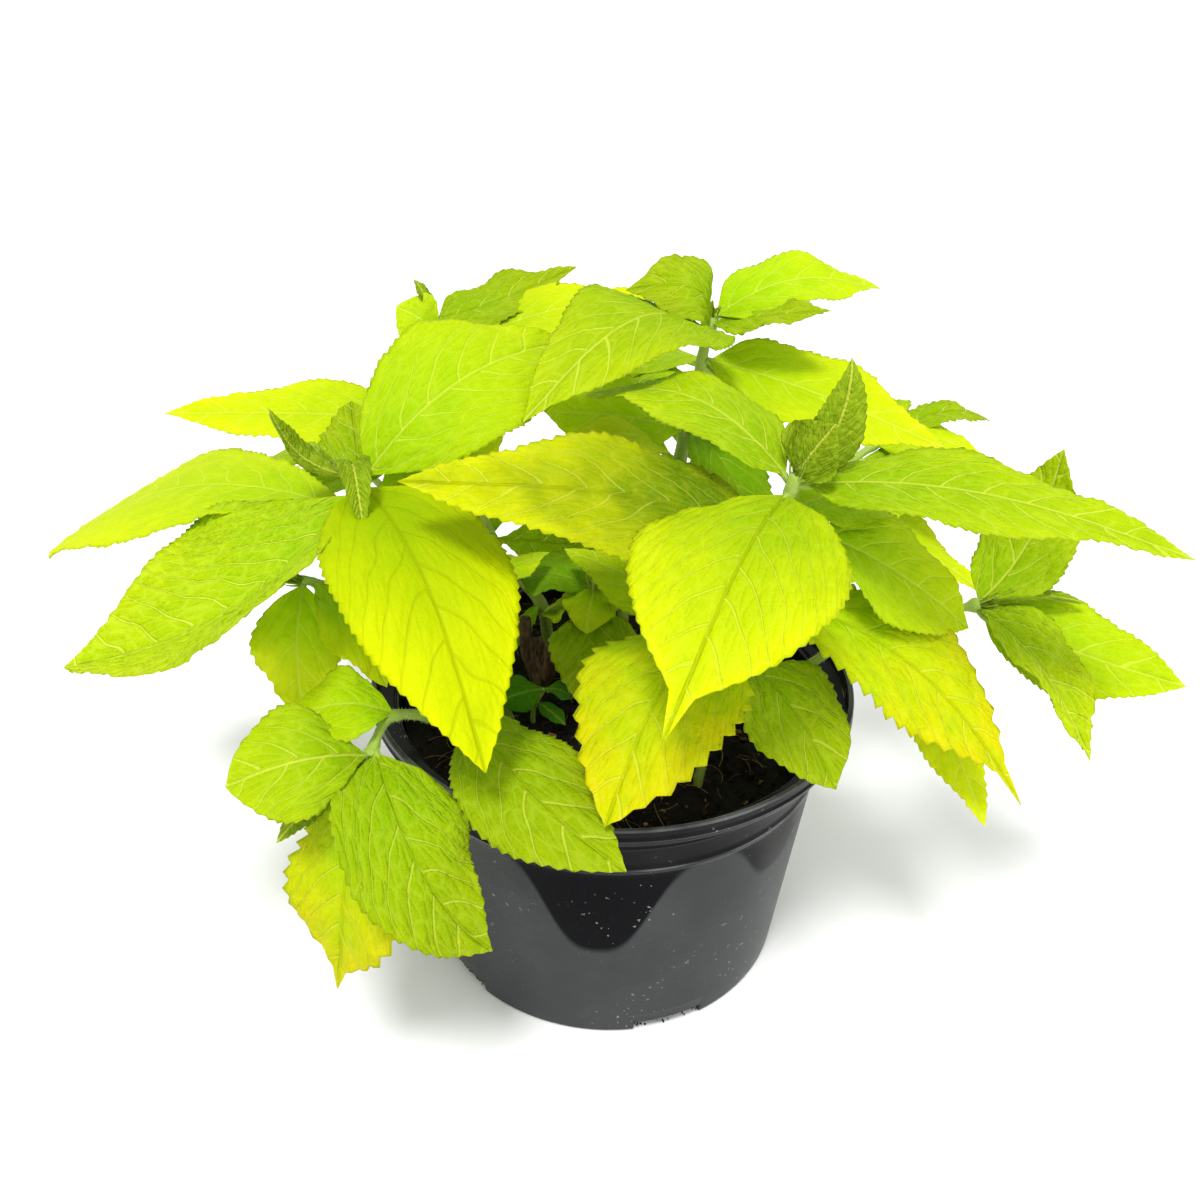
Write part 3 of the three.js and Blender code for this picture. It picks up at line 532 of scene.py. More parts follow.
def add_leaf(mesh, base, spec, phase, seed):
    """Adds one leaf, with its veins, swellings, toothed margin and rounded midrib."""
    blade = Blade(base, spec)
    look = LOOKS[spec.look]
    rng = np.random.default_rng(seed)
    u, teeth = tooth_rows(spec, blade.length)
    cells = int(np.clip(round(spec.width / 2 / CELLS.size), CELLS.fewest, CELLS.most))
    inner = np.linspace(0, CELLS.last, cells)
    v = np.concatenate([[-1.0], -inner[::-1], inner[1:], [1.0]])
    rows, columns = len(u), len(v)
    uu, vv = np.meshgrid(u, v, indexing="ij")
    half = blade.half_width(uu)
    outward = np.abs(vv)
    edge = smoothstep(0.86, 1.0, outward)
    across = vv * half + np.sign(vv) * teeth[:, None] * edge
    reach = np.abs(across)
    most = 0.5 * spec.width
    turn = WAVES.count * uu + phase + np.where(vv > 0, WAVES.out_of_step, 0.0)
    fullness = np.minimum(1.0, WAVES.fullness * half / most)
    angle = math.radians(spec.fold)
    lift = (reach * math.sin(angle) - spec.curl * reach ** 2 / most
            + spec.wave * vv ** 2 * fullness * np.sin(TURN * turn))
    along, side, up = blade.axes(u)
    points = (blade.midrib(u)[:, None] + side[:, None] * (across * math.cos(angle))[..., None]
              + up[:, None] * lift[..., None])

    def field(length, number):
        return ripple(points.reshape(-1, 3), length, seed + number).reshape(rows, columns)

    # The side veins leave the midrib at an angle and bend towards the tip.
    pairs = float(np.clip(round(blade.length / look.spacing), 4, 14))
    lead = reach * (VEINS.lead + VEINS.bend * reach / most) / blade.length
    t = np.clip((uu - lead - spec.stalk) / (1 - spec.stalk), -0.3, 1)
    vein = (pairs * np.sign(t) * np.abs(t) ** VEINS.crowding + np.where(vv > 0, VEINS.out_of_step, 0.0)
            + rng.uniform(0, 1))
    vein = vein + VEINS.wobble * field(40.0, 1)
    near_vein = np.abs(vein - np.round(vein))

    # The blade swells between its veins, dips along its midrib and ruffles at its margin.
    open_blade = smoothstep(0.06, 0.35, outward) * (1 - smoothstep(0.88, 1.0, outward))
    open_blade = open_blade * smoothstep(1.5, 6.0, half)
    swell = look.quilt * ((np.minimum(near_vein, 0.5) * 2) ** 0.7 - 0.45) * open_blade
    small = 0.30 * look.quilt * field(5.5, 2)
    groove = -0.35 * np.exp(-(reach / 0.9) ** 2) * smoothstep(2, 6, half)
    ruffle = 0.5 * edge * field(16.0, 3)
    normal = unit(np.cross(np.gradient(points, axis=1), np.gradient(points, axis=0)))
    normal = np.where((normal * up[:, None]).sum(-1, keepdims=True) < 0, -normal, normal)
    relief = swell + small * open_blade + groove + ruffle * smoothstep(2, 8, half)
    top = points + normal * relief[..., None]
    thick = THICKNESS * (1 - 0.5 * edge)
    ridge = 0.30 * np.exp(-(near_vein / 0.07) ** 2) * open_blade
    below = top - normal * (thick + ridge)[..., None]

    # Colour runs from the base to the tip and the margin, in soft uneven patches.
    base_tone, tip_tone = linear(look.base), linear(look.tip)
    share = 0.75 * smoothstep(0.1, 0.85, uu) + 0.35 * outward ** 1.5 - 0.1
    share = np.clip(share + 0.22 * look.mottle * field(34.0, 4), 0, 1)[..., None]
    tone = base_tone * (1 - share) + tip_tone * share
    tone = tone * (1 + 0.05 * rng.uniform(-1, 1)) * (1 - 0.16 * smoothstep(0.93, 1.0, outward))[..., None]
    under = tone * np.array([0.80, 0.86, 1.0]) + np.array([0.02, 0.03, 0.01])
    chart = np.stack([vein, across, np.full(across.shape, look.relief)], axis=-1)

    # The upper and the lower face are joined along both margins and at both ends.
    n = rows * columns
    faces = [grid_faces(rows, columns), grid_faces(rows, columns, start=n, flip=True)]
    left, first = np.arange(rows) * columns, np.arange(columns)
    edges = ((left, False), (left + columns - 1, True), (first, True), (first + n - columns, False))
    for line, turned in edges:
        a, b = line[:-1], line[1:]
        quad = np.stack([a, b, b + n, a + n], axis=-1)
        faces.append(quad[:, ::-1] if turned else quad)
    trait = (look.veins, look.rib, look.mottle)
    mesh.add([top, below], faces, tone=[tone, under], chart=[chart, chart], trait=trait)
    return add_midrib(mesh, blade, spec, base_tone)


def add_midrib(mesh, blade, spec, base_tone):
    """A leaf's stalk, which is round and runs on below the blade as its midrib."""
    size = min(1.0, 0.35 + spec.width / 55)
    steps = np.linspace(0, RIB.end, RIB.steps)
    up = blade.axes(steps)[2]
    radius = size * (RIB.base * (1 - steps) ** RIB.power + RIB.tip)
    under_blade = smoothstep(spec.stalk * 0.7, spec.stalk * 1.8, steps)
    sink = 0.25 * (radius + 1) + (0.7 * radius + 0.45) * under_blade
    centre = blade.midrib(steps) - up * sink[:, None]
    points, faces = tube(centre, radius)
    mesh.add(points, faces, material=1, tone=base_tone * 0.75 + TONES.pale_rib * 0.35)
    stalk_end = max(int(np.searchsorted(steps, spec.stalk * 1.6)), 3)
    return centre[:stalk_end], radius[:stalk_end]


def add_hairs(mesh, path, radii, kind, rng):
    """Short pale hairs that stand out from a stem or stalk."""
    per_mm, length = HAIRS[kind]
    path = np.asarray(path, float)
    radii = np.broadcast_to(np.asarray(radii, float), (len(path),))
    run = np.concatenate([[0], np.cumsum(np.linalg.norm(np.diff(path, axis=0), axis=1))])
    count = int(run[-1] * per_mm)
    if count < 1:
        return
    at = rng.uniform(0, run[-1], count)
    place = along_path(at, run, path)
    radius = np.interp(at, run, radii)
    way = unit(along_path(at, run, unit(np.gradient(path, axis=0))))
    out = rng.normal(size=(count, 3))
    out = unit(out - way * (out * way).sum(-1, keepdims=True))
    lean = unit(out + way * rng.uniform(-0.5, 0.7, (count, 1)) + rng.normal(size=(count, 3)) * 0.2)
    root = place + out * (radius * 0.9)[:, None]
    reach = length * rng.uniform(0.5, 1.0, (count, 1))
    broad = unit(np.cross(lean, out + way)) * HAIR_HALF_WIDTH
    points = np.stack([root - broad, root + broad, root + lean * reach], axis=1)
    mesh.add(points, [np.arange(count * 3).reshape(-1, 3)], material=2, tone=HAIR_TONE)


def build_stem(name, plan, seed):
    """A stem with its leaves, its buds and its hairs, as one piece that replaces the solid."""
    mesh = Mesh()
    rng = np.random.default_rng(seed)
    weed = name == "seedling"
    curve, path, radii = rooted(plan, STEM_STEPS, STEM_FOOT_STEPS)
    run = np.linspace(0, 1, STEM_STEPS)
    joint_swell = 0.3 if weed else 1.0
    for at in sorted({round(one.at, 2) for one in plan.leaves}):
        radii[STEM_FOOT_STEPS:] += 0.5 * np.exp(-((run - at) * STEM_STEPS / JOINT_REACH) ** 2) * joint_swell
    points, faces = tube(path, radii, sides=STEM_SIDES, squareness=0.06)
    share = np.concatenate([np.zeros(STEM_FOOT_STEPS), run])[:, None]
    tone = np.repeat(TONES.old_stem * (1 - share) + TONES.young_stem * share, STEM_SIDES, axis=0)
    mesh.add(points, faces, material=1, tone=tone)
    if not weed:
        add_hairs(mesh, path[STEM_FOOT_STEPS:], radii[STEM_FOOT_STEPS:], "stem", rng)
    for index, spec in enumerate(plan.leaves):
        phase = (WAVES.phase_step * index) % 1
        base = along_path(spec.at, run, curve)
        stalk, radius = add_leaf(mesh, base, spec, phase, seed * 100 + index * 10)
        if not weed:
            add_hairs(mesh, stalk, radius, "stalk", rng)
        if spec.look == "young":
            middle = 0.5 * (base + np.array(spec.tip))
            add_hairs(mesh, np.stack([base, middle]), 1.5, "blade", rng)
    if not weed:
        add_bud(mesh, curve, rng, seed)
    return mesh.build(name + "_piece", [LEAF, STALK_SKIN, HAIR], [name])


def add_bud(mesh, curve, rng, seed):
    """The folded leaflets at a growing tip."""
    end = curve[-1]
    way = unit(curve[-1] - curve[-4])
    side = unit(np.cross(way, (0.3, 0.9, 0.2)))
    other = np.cross(way, side)
    for k in range(BUD.leaflets):
        angle = k * math.pi / 2 + rng.uniform(-0.3, 0.3)
        out = side * math.cos(angle) + other * math.sin(angle)
        reach = BUD.reach - BUD.shorter * k
        tip = end + way * reach + out * (BUD.out - BUD.closer * k)
        spec = leaf(1.0, tip, BUD.width, "young", arch=-0.6, fold=32, belly=0.45, stalk=0.05, wave=0.2)
        add_leaf(mesh, end - way * 1.5 + out * 0.5, spec, 0.25 * k, seed * 100 + 80 + k)
    add_hairs(mesh, np.stack([end - way * 3, end + way * 7]), 1.6, "bud", rng)


def wall_radius(z):
    return POT.foot + (POT.shoulder - POT.foot) / (POT.height - POT.lip_depth) * z


def pot_section():
    """The pot's section, from the middle of its underside round the outside to the middle of its floor."""
    top, lip = POT.height, POT.height - POT.lip_depth
    foot, bevel, wall, step = POT.foot, POT.bevel, POT.wall, POT.foot_height
    ridge, swell, half = top - POT.ridge_drop, POT.ridge_height, POT.ridge_half
    floor = step + POT.floor
    inside = POT.shoulder - wall
    corners = [
        (POT.pad - 6, 0.0, 0.2),
        (POT.pad, 0.0, 0.4),
        (POT.pad + bevel, step, 0.4),
        (foot - POT.foot_width - bevel, step, 0.4),
        (foot - POT.foot_width, 0.0, 0.4),
        (foot - bevel, 0.0, 0.5),
        (foot, bevel, 0.7),
        (wall_radius(ridge - half), ridge - half, 0.8),
        (wall_radius(ridge) + swell, ridge - 0.5, 0.35),
        (wall_radius(ridge) + swell, ridge + 0.5, 0.35),
        (wall_radius(ridge + half), ridge + half, 0.8),
    ]
    corners += [(wall_radius(lip - drop) + out, lip - drop, soft) for drop, out, soft in WALL_LINE]
    corners.append((POT.shoulder, lip, 0.8))
    corners += [(radius, lip + up, soft) for radius, up, soft in RIM_OUTSIDE]
    corners += [(radius, top - drop, soft) for radius, drop, soft in RIM_TOP]
    corners += [
        (96.8, lip + 2.2, 0.6),
        (inside + 1.5, lip + wall, 0.8),
        (inside - 0.4, lip - 1.2, 0.8),
        (wall_radius(floor) - wall, floor, 0.6),
        (10.0, floor, 0.2),
    ]
    before, after = [(0.0, 0.0, 0)] + corners, corners[1:] + [(0, floor, 0)]
    out = [(0.0, 0.0)]
    for (r0, z0, _), (r1, z1, soft), (r2, z2, _) in zip(before, corners, after):
        p, a, b = np.array([r1, z1]), np.array([r0, z0]), np.array([r2, z2])
        la, lb = np.linalg.norm(a - p), np.linalg.norm(b - p)
        s = min(soft, 0.42 * la, 0.42 * lb)
        start, end = p + (a - p) / la * s, p + (b - p) / lb * s
        for t in (0.0, 0.33, 0.67, 1.0):
            out.append(tuple(start * (1 - t) ** 2 + 2 * p * t * (1 - t) + end * t ** 2))
    out.append((0.0, floor))
    section = [out[0]]
    for a, b in zip(out, out[1:]):
        steps = max(1, int(np.hypot(b[0] - a[0], b[1] - a[1]) / POT.longest_face))
        for k in range(1, steps + 1):
            w = k / steps
            section.append((a[0] + (b[0] - a[0]) * w, a[1] + (b[1] - a[1]) * w))
    return section


def build_pot():
    """The pot, as its section turned round, with the openings in its foot."""
    section = pot_section()
    radius, height = np.array(section[1:-1]).T[..., None, None]
    walls = circle(POT.sides)[None] * radius
    rings = np.concatenate([walls, np.broadcast_to(height, (*walls.shape[:2], 1))], axis=-1)
    mesh = Mesh()
    mesh.add(*closed_rings(rings, [[0, 0, section[0][1]], [0, 0, section[-1][1]]]))
    pot = mesh.build("pot_piece", [PLASTIC], ["pot"])
    for turn in SLOT_TURNS:
        cut_slot(pot, turn)
    return pot


def cut_slot(pot, turn):
    """One opening in the foot of the pot."""
    box = bpy.data.meshes.new("slot_cutter")
    x0 = POT.foot + SLOT.centre_out - SLOT.depth / 2
    x1 = x0 + SLOT.depth
    w, h = SLOT.width / 2, SLOT.height
    corners = [(x, y, z) for x in (x0, x1) for y in (-w, w) for z in (-h, h)]
    faces = [(0, 1, 3, 2), (4, 6, 7, 5), (0, 4, 5, 1), (2, 3, 7, 6), (0, 2, 6, 4), (1, 5, 7, 3)]
    box.from_pydata([tuple(c * MM for c in p) for p in corners], [], faces)
    cutter = placed("slot_cutter", box)
    cutter.rotation_euler = (0, 0, turn)
    bpy.context.view_layer.update()
    cut = pot.modifiers.new("slot", "BOOLEAN")
    cut.operation, cut.solver, cut.object = "DIFFERENCE", "EXACT", cutter
    bpy.context.view_layer.objects.active = pot
    with bpy.context.temp_override(object=pot, active_object=pot):
        bpy.ops.object.modifier_apply(modifier=cut.name)
    bpy.data.objects.remove(cutter)
    bpy.data.meshes.remove(box)


def scatter(rng, share):
    """A random place on the soil, within a share of its radius."""
    r = SOIL.radius * share * math.sqrt(rng.uniform(0, 1))
    a = rng.uniform(0, TURN)
    return r * math.cos(a), r * math.sin(a)


def build_soil():
    """The soil, its crumbs, bark chips and fine roots."""
    mesh = Mesh()
    rng = np.random.default_rng(41)
    full, ground, bottom = SOIL.radius, SOIL.top, SOIL.bottom
    ring = circle(SOIL.sides)
    radius = (np.linspace(0.004, 1.0, SOIL.rings) * full)[:, None]
    x, y = radius * ring[:, 0], radius * ring[:, 1]
    flat = np.stack([x, y, np.zeros_like(x)], axis=-1).reshape(-1, 3)
    rise = sum(height * ripple(flat, length, seed) for height, length, seed in SOIL_WAVES)
    edge = smoothstep(0.9, 1.0, radius / full)
    level = ground + rise.reshape(x.shape) * (1 - 0.5 * edge) - 1.5 * edge
    rings = [np.stack([x, y, level], axis=-1)]
    for share in (0.25, 0.5, 0.75, 1.0):
        r = full + (SOIL.bottom_radius - full) * share
        z = ground - 2 + (bottom - ground + 2) * share
        rings.append(np.stack([*(r * ring.T), np.full(len(ring), z)], axis=-1)[None])
    points, faces = closed_rings(np.concatenate(rings), [[0, 0, ground], [0, 0, bottom]], flip=True)
    mesh.add(points, faces, tone=TONES.soil)

    dark, bark, tan = TONES.dark_chip, TONES.bark_chip, TONES.tan_chip
    for _ in range(CHIP_COUNT):
        x, y = scatter(rng, 0.985)
        size = rng.choice([rng.uniform(*span) for span in CHIP_SIZES], p=CHIP_SHARES)
        place = np.array([x, y, ground + rng.uniform(-0.4, 1.2)])
        kind = rng.uniform()
        tone = dark if kind < 0.62 else bark if kind < 0.88 else tan
        add_chip(mesh, place, size, tone * rng.uniform(0.7, 1.3), rng)
    for turn in SLOT_TURNS:
        c, s = math.cos(turn), math.sin(turn)
        for _ in range(CHIPS_IN_SLOT):
            y = rng.uniform(-0.46, 0.46) * SLOT.width
            x = rng.uniform(POT.foot - 4.5, POT.foot - 0.6) - abs(y) * 0.05
            z = rng.uniform(1.0, SLOT.height - 0.6)
            tone = dark if rng.uniform() < 0.7 else bark
            size = rng.uniform(0.7, 2.2)
            place = np.array([x * c - y * s, x * s + y * c, z])
            add_chip(mesh, place, size, tone * rng.uniform(0.6, 1.2), rng)
    for _ in range(FIBRE_COUNT):
        x, y = scatter(rng, 0.95)
        start = np.array([x, y, ground + rng.uniform(0.3, 1.6)])
        way = rng.uniform(0, TURN)
        length, bend = rng.uniform(4, 16), rng.uniform(-0.25, 0.25)
        steps = np.linspace(0, 1, 8)
        heading = way + bend * steps * length / 3
        hump = 0.8 * np.sin(math.pi * steps) * rng.uniform(0.2, 1.4)
        east, north = np.cos(heading) * steps * length, np.sin(heading) * steps * length
        path = start + np.stack([east, north, hump], axis=-1)
        path = path[np.hypot(path[:, 0], path[:, 1]) < full - 0.5]
        if len(path) > 3:
            points, faces = tube(path, rng.uniform(0.08, 0.2), sides=4)
            mesh.add(points, faces, material=1, tone=TONES.fibre * rng.uniform(0.5, 1.2))
    return mesh.build("soil_piece", [EARTH, FIBRE], ["soil"])


CHIP = np.array([(1, 0, 0), (0.5, 0.8, 0), (-0.5, 0.8, 0), (-1, 0, 0), (-0.5, -0.8, 0), (0.5, -0.8, 0)])


def add_chip(mesh, place, size, tone, rng):
    """A crumb or flake with uneven corners."""
    squash = rng.uniform(0.35, 0.9)
    corners = CHIP * rng.uniform(0.6, 1.15, (6, 1)) * np.array([size, size * squash, 1.0]) * 0.5
    thick = size * rng.uniform(0.14, 0.4)
    top = corners * 0.8 + UP * thick * rng.uniform(0.6, 1.1, (6, 1))
    low = corners - UP * thick * rng.uniform(0.4, 1.0, (6, 1))
    peak, pit = top.mean(0) + UP * 0.25 * thick, low.mean(0) - UP * 0.25 * thick
    points = np.concatenate([corners, top, low, [peak, pit]])
    turn, tilt = rng.uniform(0, TURN), rng.normal(0, 0.45)
    spin = np.array(Matrix.Rotation(turn, 3, "Z") @ Matrix.Rotation(tilt, 3, "X"))
    j = np.arange(6)
    q = (j + 1) % 6
    faces = [(j, q, q + 6, j + 6), (j, j + 12, q + 12, q),
             (j + 6, q + 6, np.full(6, 18)), (q + 12, j + 12, np.full(6, 19))]
    mesh.add(points @ spin.T + place, [np.stack(face, axis=-1) for face in faces], tone=tone)


def build_crown():
    """Last year's cut stems, with knots and peeling bark."""
    mesh = Mesh()
    for k, stub in enumerate(STUBS):
        _, path, radii = rooted(stub, STUB_STEPS, STUB_FOOT_STEPS)
        radii = radii * (1 + 0.12 * np.exp(-((np.linspace(0, 1, len(path)) - 0.6) * 14) ** 2))
        points, faces = tube(path, radii, sides=STUB_SIDES)
        grain = 0.22 * ripple(points * np.array([1, 1, 0.3]), 2.6, 50 + k)
        middle = np.repeat(path, STUB_SIDES, axis=0)
        points = points + unit(points - middle) * grain[:, None]
        tone = TONES.stub * (1 + 0.25 * ripple(points, 9.0, 60 + k))[:, None]
        mesh.add(points, faces, tone=np.clip(tone, 0.01, 1))
    return mesh.build("woody_crown_piece", [BARK], ["woody_crown"])


class Shader:
    """A node material, written as short calls."""

    def __init__(self, name):
        self.material = bpy.data.materials.new(name)
        self.material.use_nodes = True
        self.tree = self.material.node_tree
        self.tree.nodes.clear()
        self.out = self.node("OutputMaterial")

    def node(self, kind, **values):
        node = self.tree.nodes.new("ShaderNode" + kind)
        for name, value in values.items():
            setattr(node, name, value)
        return node

    def put(self, node, *ordered, **named):
        """Sets a node's first inputs in their order, and others by name with _ for each space."""
        sockets = list(zip(node.inputs, ordered))
        sockets += [(node.inputs[name.replace("_", " ")], value) for name, value in named.items()]
        for socket, value in sockets:
            if isinstance(value, bpy.types.NodeSocket):
                self.tree.links.new(value, socket)
            elif value is not None:
                socket.default_value = value

    def math(self, operation, a, b=None, clamp=False):
        node = self.node("Math", operation=operation, use_clamp=clamp)
        self.put(node, a, b)
        return node.outputs[0]

    def plus(self, a, b):
        return self.math("ADD", a, b)

    def minus(self, a, b, clamp=False):
        return self.math("SUBTRACT", a, b, clamp)

    def times(self, a, b):
        return self.math("MULTIPLY", a, b)

    def most(self, a, b):
        return self.math("MAXIMUM", a, b)

    def ramp(self, value, low, high, to_low=0.0, to_high=1.0):
        node = self.node("MapRange", interpolation_type="SMOOTHSTEP")
        self.put(node, value, low, high, to_low, to_high)
        return node.outputs[0]

    def mix(self, share, a, b):
        node = self.node("Mix", data_type="RGBA")
        a, b = (c if isinstance(c, bpy.types.NodeSocket) else (*c, 1.0) for c in (a, b))
        unused = [None] * 5
        self.put(node, share, *unused, a, b)
        return node.outputs[2]

    def attribute(self, name, output="Vector"):
        return self.node("Attribute", attribute_name=name).outputs[output]

    def tone(self):
        return self.attribute("tone", "Color")

    def place(self):
        return self.node("TexCoord").outputs["Object"]

    def split(self, vector):
        node = self.node("SeparateXYZ")
        self.put(node, vector)
        return node.outputs

    def stretched(self, vector, scale, rotation=(0.0, 0.0, 0.0)):
        node = self.node("Mapping")
        self.put(node, Vector=vector, Scale=scale, Rotation=rotation)
        return node.outputs[0]

    def noise(self, vector, scale, detail=3.0, rough=0.55):
        node = self.node("TexNoise")
        self.put(node, Vector=vector, Scale=scale, Detail=detail, Roughness=rough)
        return node.outputs["Fac"]

    def cells(self, vector, scale, feature="DISTANCE_TO_EDGE"):
        node = self.node("TexVoronoi", feature=feature)
        self.put(node, Vector=vector, Scale=scale)
        return node.outputs["Distance"]

    def bump(self, height, distance, strength=1.0):
        node = self.node("Bump")
        self.put(node, Height=height, Distance=distance, Strength=strength)
        return node.outputs["Normal"]

    def surface(self, colour, roughness, normal=None, specular=0.5, glow=0.0):
        """Ends the material. glow is the share of light that passes through it."""
        node = self.node("BsdfPrincipled")
        self.put(node, Base_Color=colour, Roughness=roughness, IOR=1.5, Normal=normal)
        self.put(node, Specular_IOR_Level=specular)
        shader = node.outputs[0]
        if glow:
            through = self.node("BsdfTranslucent")
            self.put(through, Color=colour, Normal=normal)
            mix = self.node("MixShader")
            self.put(mix, glow, shader, through.outputs[0])
            shader = mix.outputs[0]
        self.put(self.out, Surface=shader)
        return self.material


def leaf_material():
    """A blade with raised or pale veins, a fine net between them and uneven colour."""
    s = Shader("leaf_blade")
    tone = s.tone()
    vein_at, across, relief = s.split(s.attribute("chart"))
    vein_tone, rib_tone, mottle = s.split(s.attribute("trait"))
    reach = s.math("ABSOLUTE", across)
    place = s.place()
    grain = s.noise(place, 900.0)
    patch = s.noise(place, 120.0, 4.0, 0.6)

    # Side veins, the midrib and the fine net between them.
    off = s.plus(s.math("PINGPONG", vein_at, 0.5), s.times(s.minus(grain, 0.5), 0.03))
    vein = s.times(s.ramp(off, 0.020, 0.068, 1.0, 0.0), s.ramp(reach, 30.0, 4.0, 0.55, 1.0))
    rib = s.ramp(reach, 0.28, 0.80, 1.0, 0.0)
    net_place = s.node("CombineXYZ")
    s.put(net_place, s.times(vein_at, 1.5), s.times(across, 0.27))
    mesh_gap = s.cells(net_place.outputs[0], 1.0)
    fine_gap = s.cells(place, 520.0)
    net = s.ramp(mesh_gap, 0.0, 0.13, 1.0, 0.0)
    fine = s.ramp(fine_gap, 0.0, 0.16, 1.0, 0.0)
    web = s.most(s.times(net, 0.33), s.times(fine, 0.14))
    puff = s.plus(s.ramp(mesh_gap, 0.0, 0.34), s.times(s.ramp(fine_gap, 0.0, 0.4), 0.35))

    # Warm and cool patches come first, and then the veins and the midrib, paler or darker.
    pale = s.mix(0.52, tone, (0.92, 0.98, 0.12))
    dark = s.mix(0.55, tone, (0.34, 0.40, 0.0))
    warm = s.times(s.minus(patch, 0.5, True), s.times(mottle, 1.4))
    cool = s.times(s.minus(0.5, patch, True), s.times(mottle, 1.6))
    colour = s.mix(warm, tone, (0.93, 0.86, 0.0))
    colour = s.mix(cool, colour, (0.16, 0.46, 0.0))
    colour = s.mix(s.times(s.minus(grain, 0.42, True), 0.35), colour, (0.30, 0.56, 0.0))
    paler, darker = s.most(vein_tone, 0.0), s.most(s.times(vein_tone, -1.0), 0.0)
    colour = s.mix(s.times(s.most(vein, web), paler), colour, pale)
    colour = s.mix(s.times(s.most(vein, s.times(web, 0.6)), darker), colour, dark)
    colour = s.mix(s.times(rib, s.most(rib_tone, 0.0)), colour, pale)
    colour = s.mix(s.times(rib, s.most(s.times(rib_tone, -1.0), 0.0)), colour, dark)

    height = s.plus(s.times(s.most(vein, rib), -0.7), s.times(puff, 0.6))
    height = s.plus(height, s.times(grain, 0.3))
    rough = s.ramp(grain, 0.3, 0.7, 0.52, 0.66)
    return s.surface(colour, rough, s.bump(height, 0.0007, relief), specular=0.06, glow=0.33)


def stalk_material():
    s = Shader("stalk_skin")
    streak = s.noise(s.place(), 700.0)
    colour = s.mix(s.times(streak, 0.5), s.tone(), (0.32, 0.36, 0.09))
    return s.surface(colour, 0.62, s.bump(streak, 0.0002, 0.7), specular=0.25, glow=0.15)


def hair_material():
    s = Shader("fine_hair")
    colour = s.mix(s.noise(s.place(), 300.0), s.tone(), (0.88, 0.90, 0.74))
    return s.surface(colour, 0.6, specular=0.3, glow=0.35)


def plastic_material():
    """Black moulded plastic, polished by its mould, with scratches and dust specks, a painted reflection and
    painted leaf shadow on its wall, and painted highlights along its edges.
    """
    s = Shader("pot_plastic")
    place = s.place()
    fine = s.noise(s.stretched(place, (1.0, 1.0, 0.06)), 900.0, 2.0)
    cloud = s.noise(place, 22.0, 4.0, 0.6)
    rare = s.ramp(s.noise(place, 70.0, 2.0), 0.56, 0.64)
    speck = s.times(s.ramp(s.cells(place, 360.0, "F1"), 0.05, 0.10, 1.0, 0.0), rare)
    tilted = s.stretched(place, (1.0, 0.05, 1.0), (0.5, 0.9, 0.7))
    scratch = s.times(s.ramp(s.noise(tilted, 420.0, 1.0), 0.69, 0.72), s.ramp(cloud, 0.50, 0.62))
    x, y, z = s.split(place)

    # A paler painted reflection on the lower wall ends in wide scallops of painted shadow from the leaves
    # above.
    turn = s.math("ARCTAN2", x, s.times(y, -1.0))
    edge = PAINTED_LIGHT.top
    for middle, spread, depth in PAINTED_LIGHT.scallops:
        off = s.math("ABSOLUTE", s.math("DIVIDE", s.minus(turn, middle), spread))
        dip = s.math("EXPONENT", s.times(s.math("POWER", off, 3.0), -1.0))
        edge = s.minus(edge, s.times(dip, depth))
    painted_reflection = s.times(s.ramp(s.minus(z, edge), -0.003, 0.002, 1.0, 0.0), s.ramp(cloud, 0.3, 0.7, 0.8, 1.0))
    # A faint paler tint over the rim, partly dust and partly painted highlight.
    rim_dust_and_sheen = s.times(s.ramp(z, 0.097, 0.100, 0.0, 0.12), s.ramp(cloud, 0.4, 0.6, 0.3, 1.0))
    colour = s.mix(s.most(painted_reflection, rim_dust_and_sheen), (0.003, 0.003, 0.004), (0.056, 0.060, 0.060))
    # Thin paler lines at the rim top, under the lip and on the ridge are painted highlights.
    for highlight_height in PAINTED_LIGHT.worn:
        worn = s.ramp(s.math("ABSOLUTE", s.minus(z, highlight_height)), 0.0002, 0.0007, 0.6, 0.0)
        colour = s.mix(s.times(worn, s.ramp(cloud, 0.35, 0.6, 0.2, 1.0)), colour, (0.20, 0.20, 0.20))
    colour = s.mix(s.most(speck, s.times(scratch, 0.5)), colour, (0.40, 0.40, 0.38))
    rough = s.plus(s.ramp(cloud, 0.3, 0.7, 0.12, 0.2), s.times(painted_reflection, 0.12))
    rough = s.plus(rough, s.times(scratch, 0.25))
    normal = s.bump(s.plus(s.times(fine, 0.3), s.times(scratch, -0.8)), 0.00006, 0.5)
    return s.surface(colour, rough, normal, specular=s.ramp(z, 0.095, 0.102, 0.035, 0.08))


def earth_material():
    s = Shader("earth")
    crumb = s.noise(s.place(), 520.0, 5.0, 0.65)
    colour = s.mix(s.ramp(crumb, 0.35, 0.7, 0.0, 0.8), s.tone(), (0.006, 0.004, 0.003))
    return s.surface(colour, 0.9, s.bump(crumb, 0.0009), specular=0.2)


def fibre_material():
    s = Shader("root_fibre")
    colour = s.mix(s.noise(s.place(), 500.0), s.tone(), (0.10, 0.06, 0.03))
    return s.surface(colour, 0.8, specular=0.2)


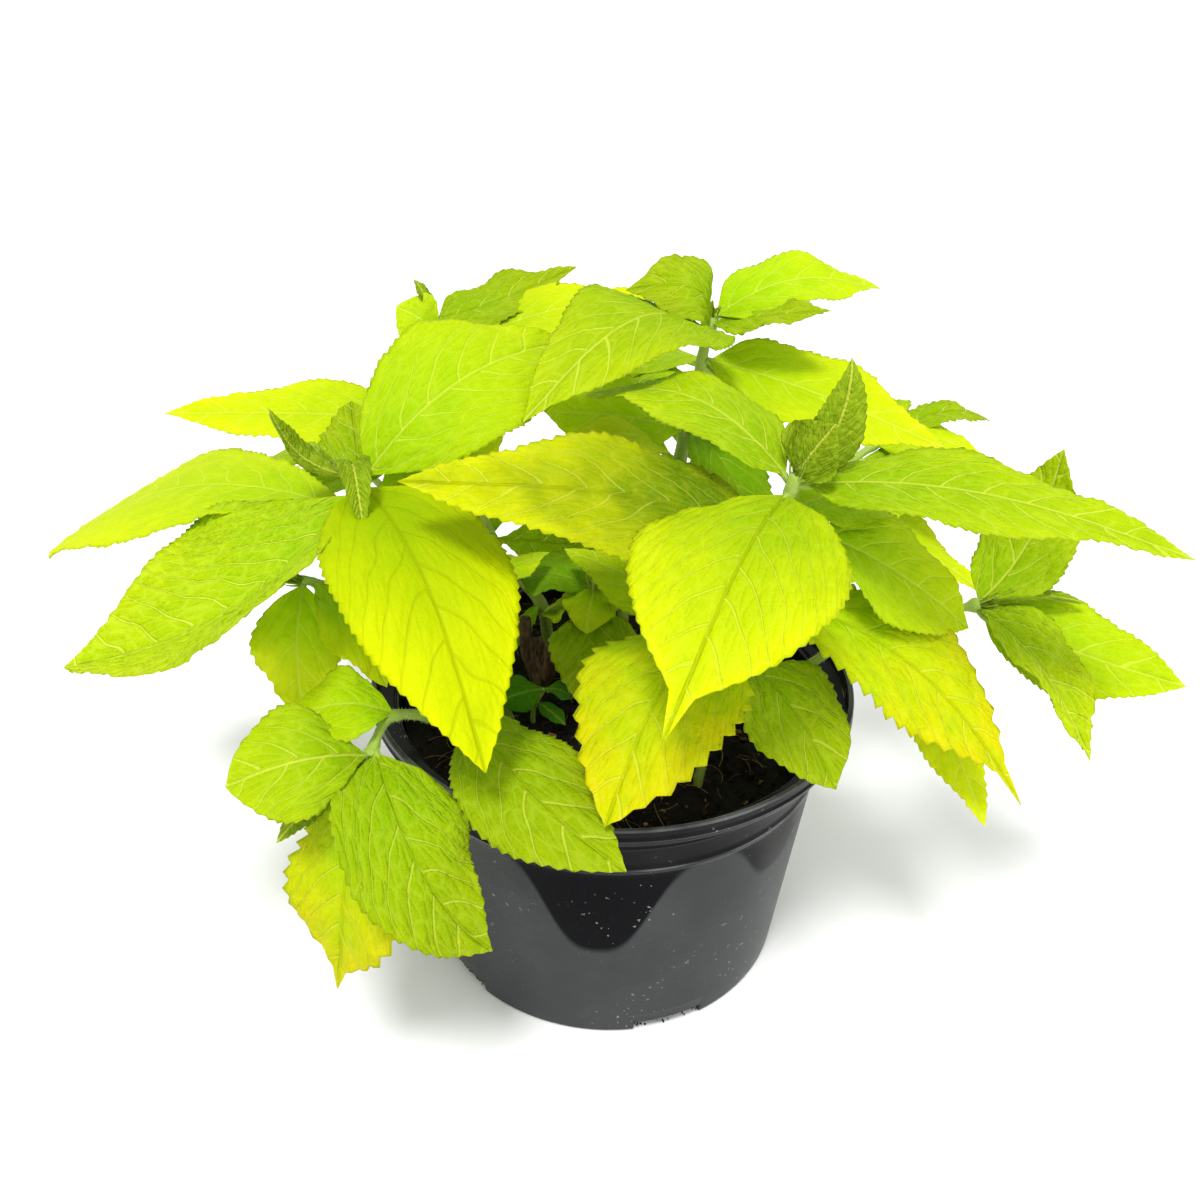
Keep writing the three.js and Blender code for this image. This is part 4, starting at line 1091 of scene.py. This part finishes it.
def bark_material():
    s = Shader("dry_bark")
    grain = s.noise(s.stretched(s.place(), (1.0, 1.0, 0.16)), 650.0, 4.0, 0.6)
    colour = s.mix(s.ramp(grain, 0.35, 0.65, 0.0, 0.85), s.tone(), (0.035, 0.022, 0.013))
    return s.surface(colour, 0.85, s.bump(grain, 0.0006), specular=0.2)


def floor_material():
    s = Shader("floor_paper")
    colour = s.mix(s.noise(s.place(), 3.0), (0.86, 0.86, 0.86), (0.90, 0.90, 0.90))
    return s.surface(colour, 0.9, specular=0.1)


LEAF = leaf_material()
STALK_SKIN = stalk_material()
HAIR = hair_material()
PLASTIC = plastic_material()
EARTH = earth_material()
FIBRE = fibre_material()
BARK = bark_material()


def build_stage():
    """The floor, the lights and the camera."""
    floor_mesh = bpy.data.meshes.new("floor")
    corners = [(x * FLOOR_REACH_M, y * FLOOR_REACH_M, 0) for x, y in ((-1, -1), (1, -1), (1, 1), (-1, 1))]
    floor_mesh.from_pydata(corners, [], [(0, 1, 2, 3)])
    floor_mesh.materials.append(floor_material())
    floor = placed("floor", floor_mesh)

    world = bpy.data.worlds.new("studio")
    world.use_nodes = True
    colour, strength = world.node_tree.nodes["Background"].inputs[:2]
    colour.default_value = (1.0, 1.0, 1.0, 1.0)
    strength.default_value = SKY_STRENGTH
    SCENE.world = world

    for name, way, spread, power in LIGHTS:
        lamp = bpy.data.lights.new(name, "SUN")
        lamp.angle, lamp.energy = math.radians(spread), power
        placed(name, lamp).rotation_euler = Vector(way).to_track_quat("-Z", "Y").to_euler()

    view = bpy.data.cameras.new("camera")
    view.lens, view.sensor_width = CAMERA.lens, CAMERA.sensor
    camera = placed("camera", view)
    turn = Matrix([CAMERA.right, CAMERA.up, [-c for c in CAMERA.forward]]).transposed()
    camera.matrix_world = Matrix.LocRotScale(Vector(CAMERA.place), turn.to_quaternion(), None)
    SCENE.camera = camera
    SCENE.view_settings.view_transform = "Standard"


for number, (stem_name, plan) in enumerate(STEMS.items()):
    build_stem(stem_name, plan, number + 1)
build_crown()
build_soil()
build_pot()
build_stage()
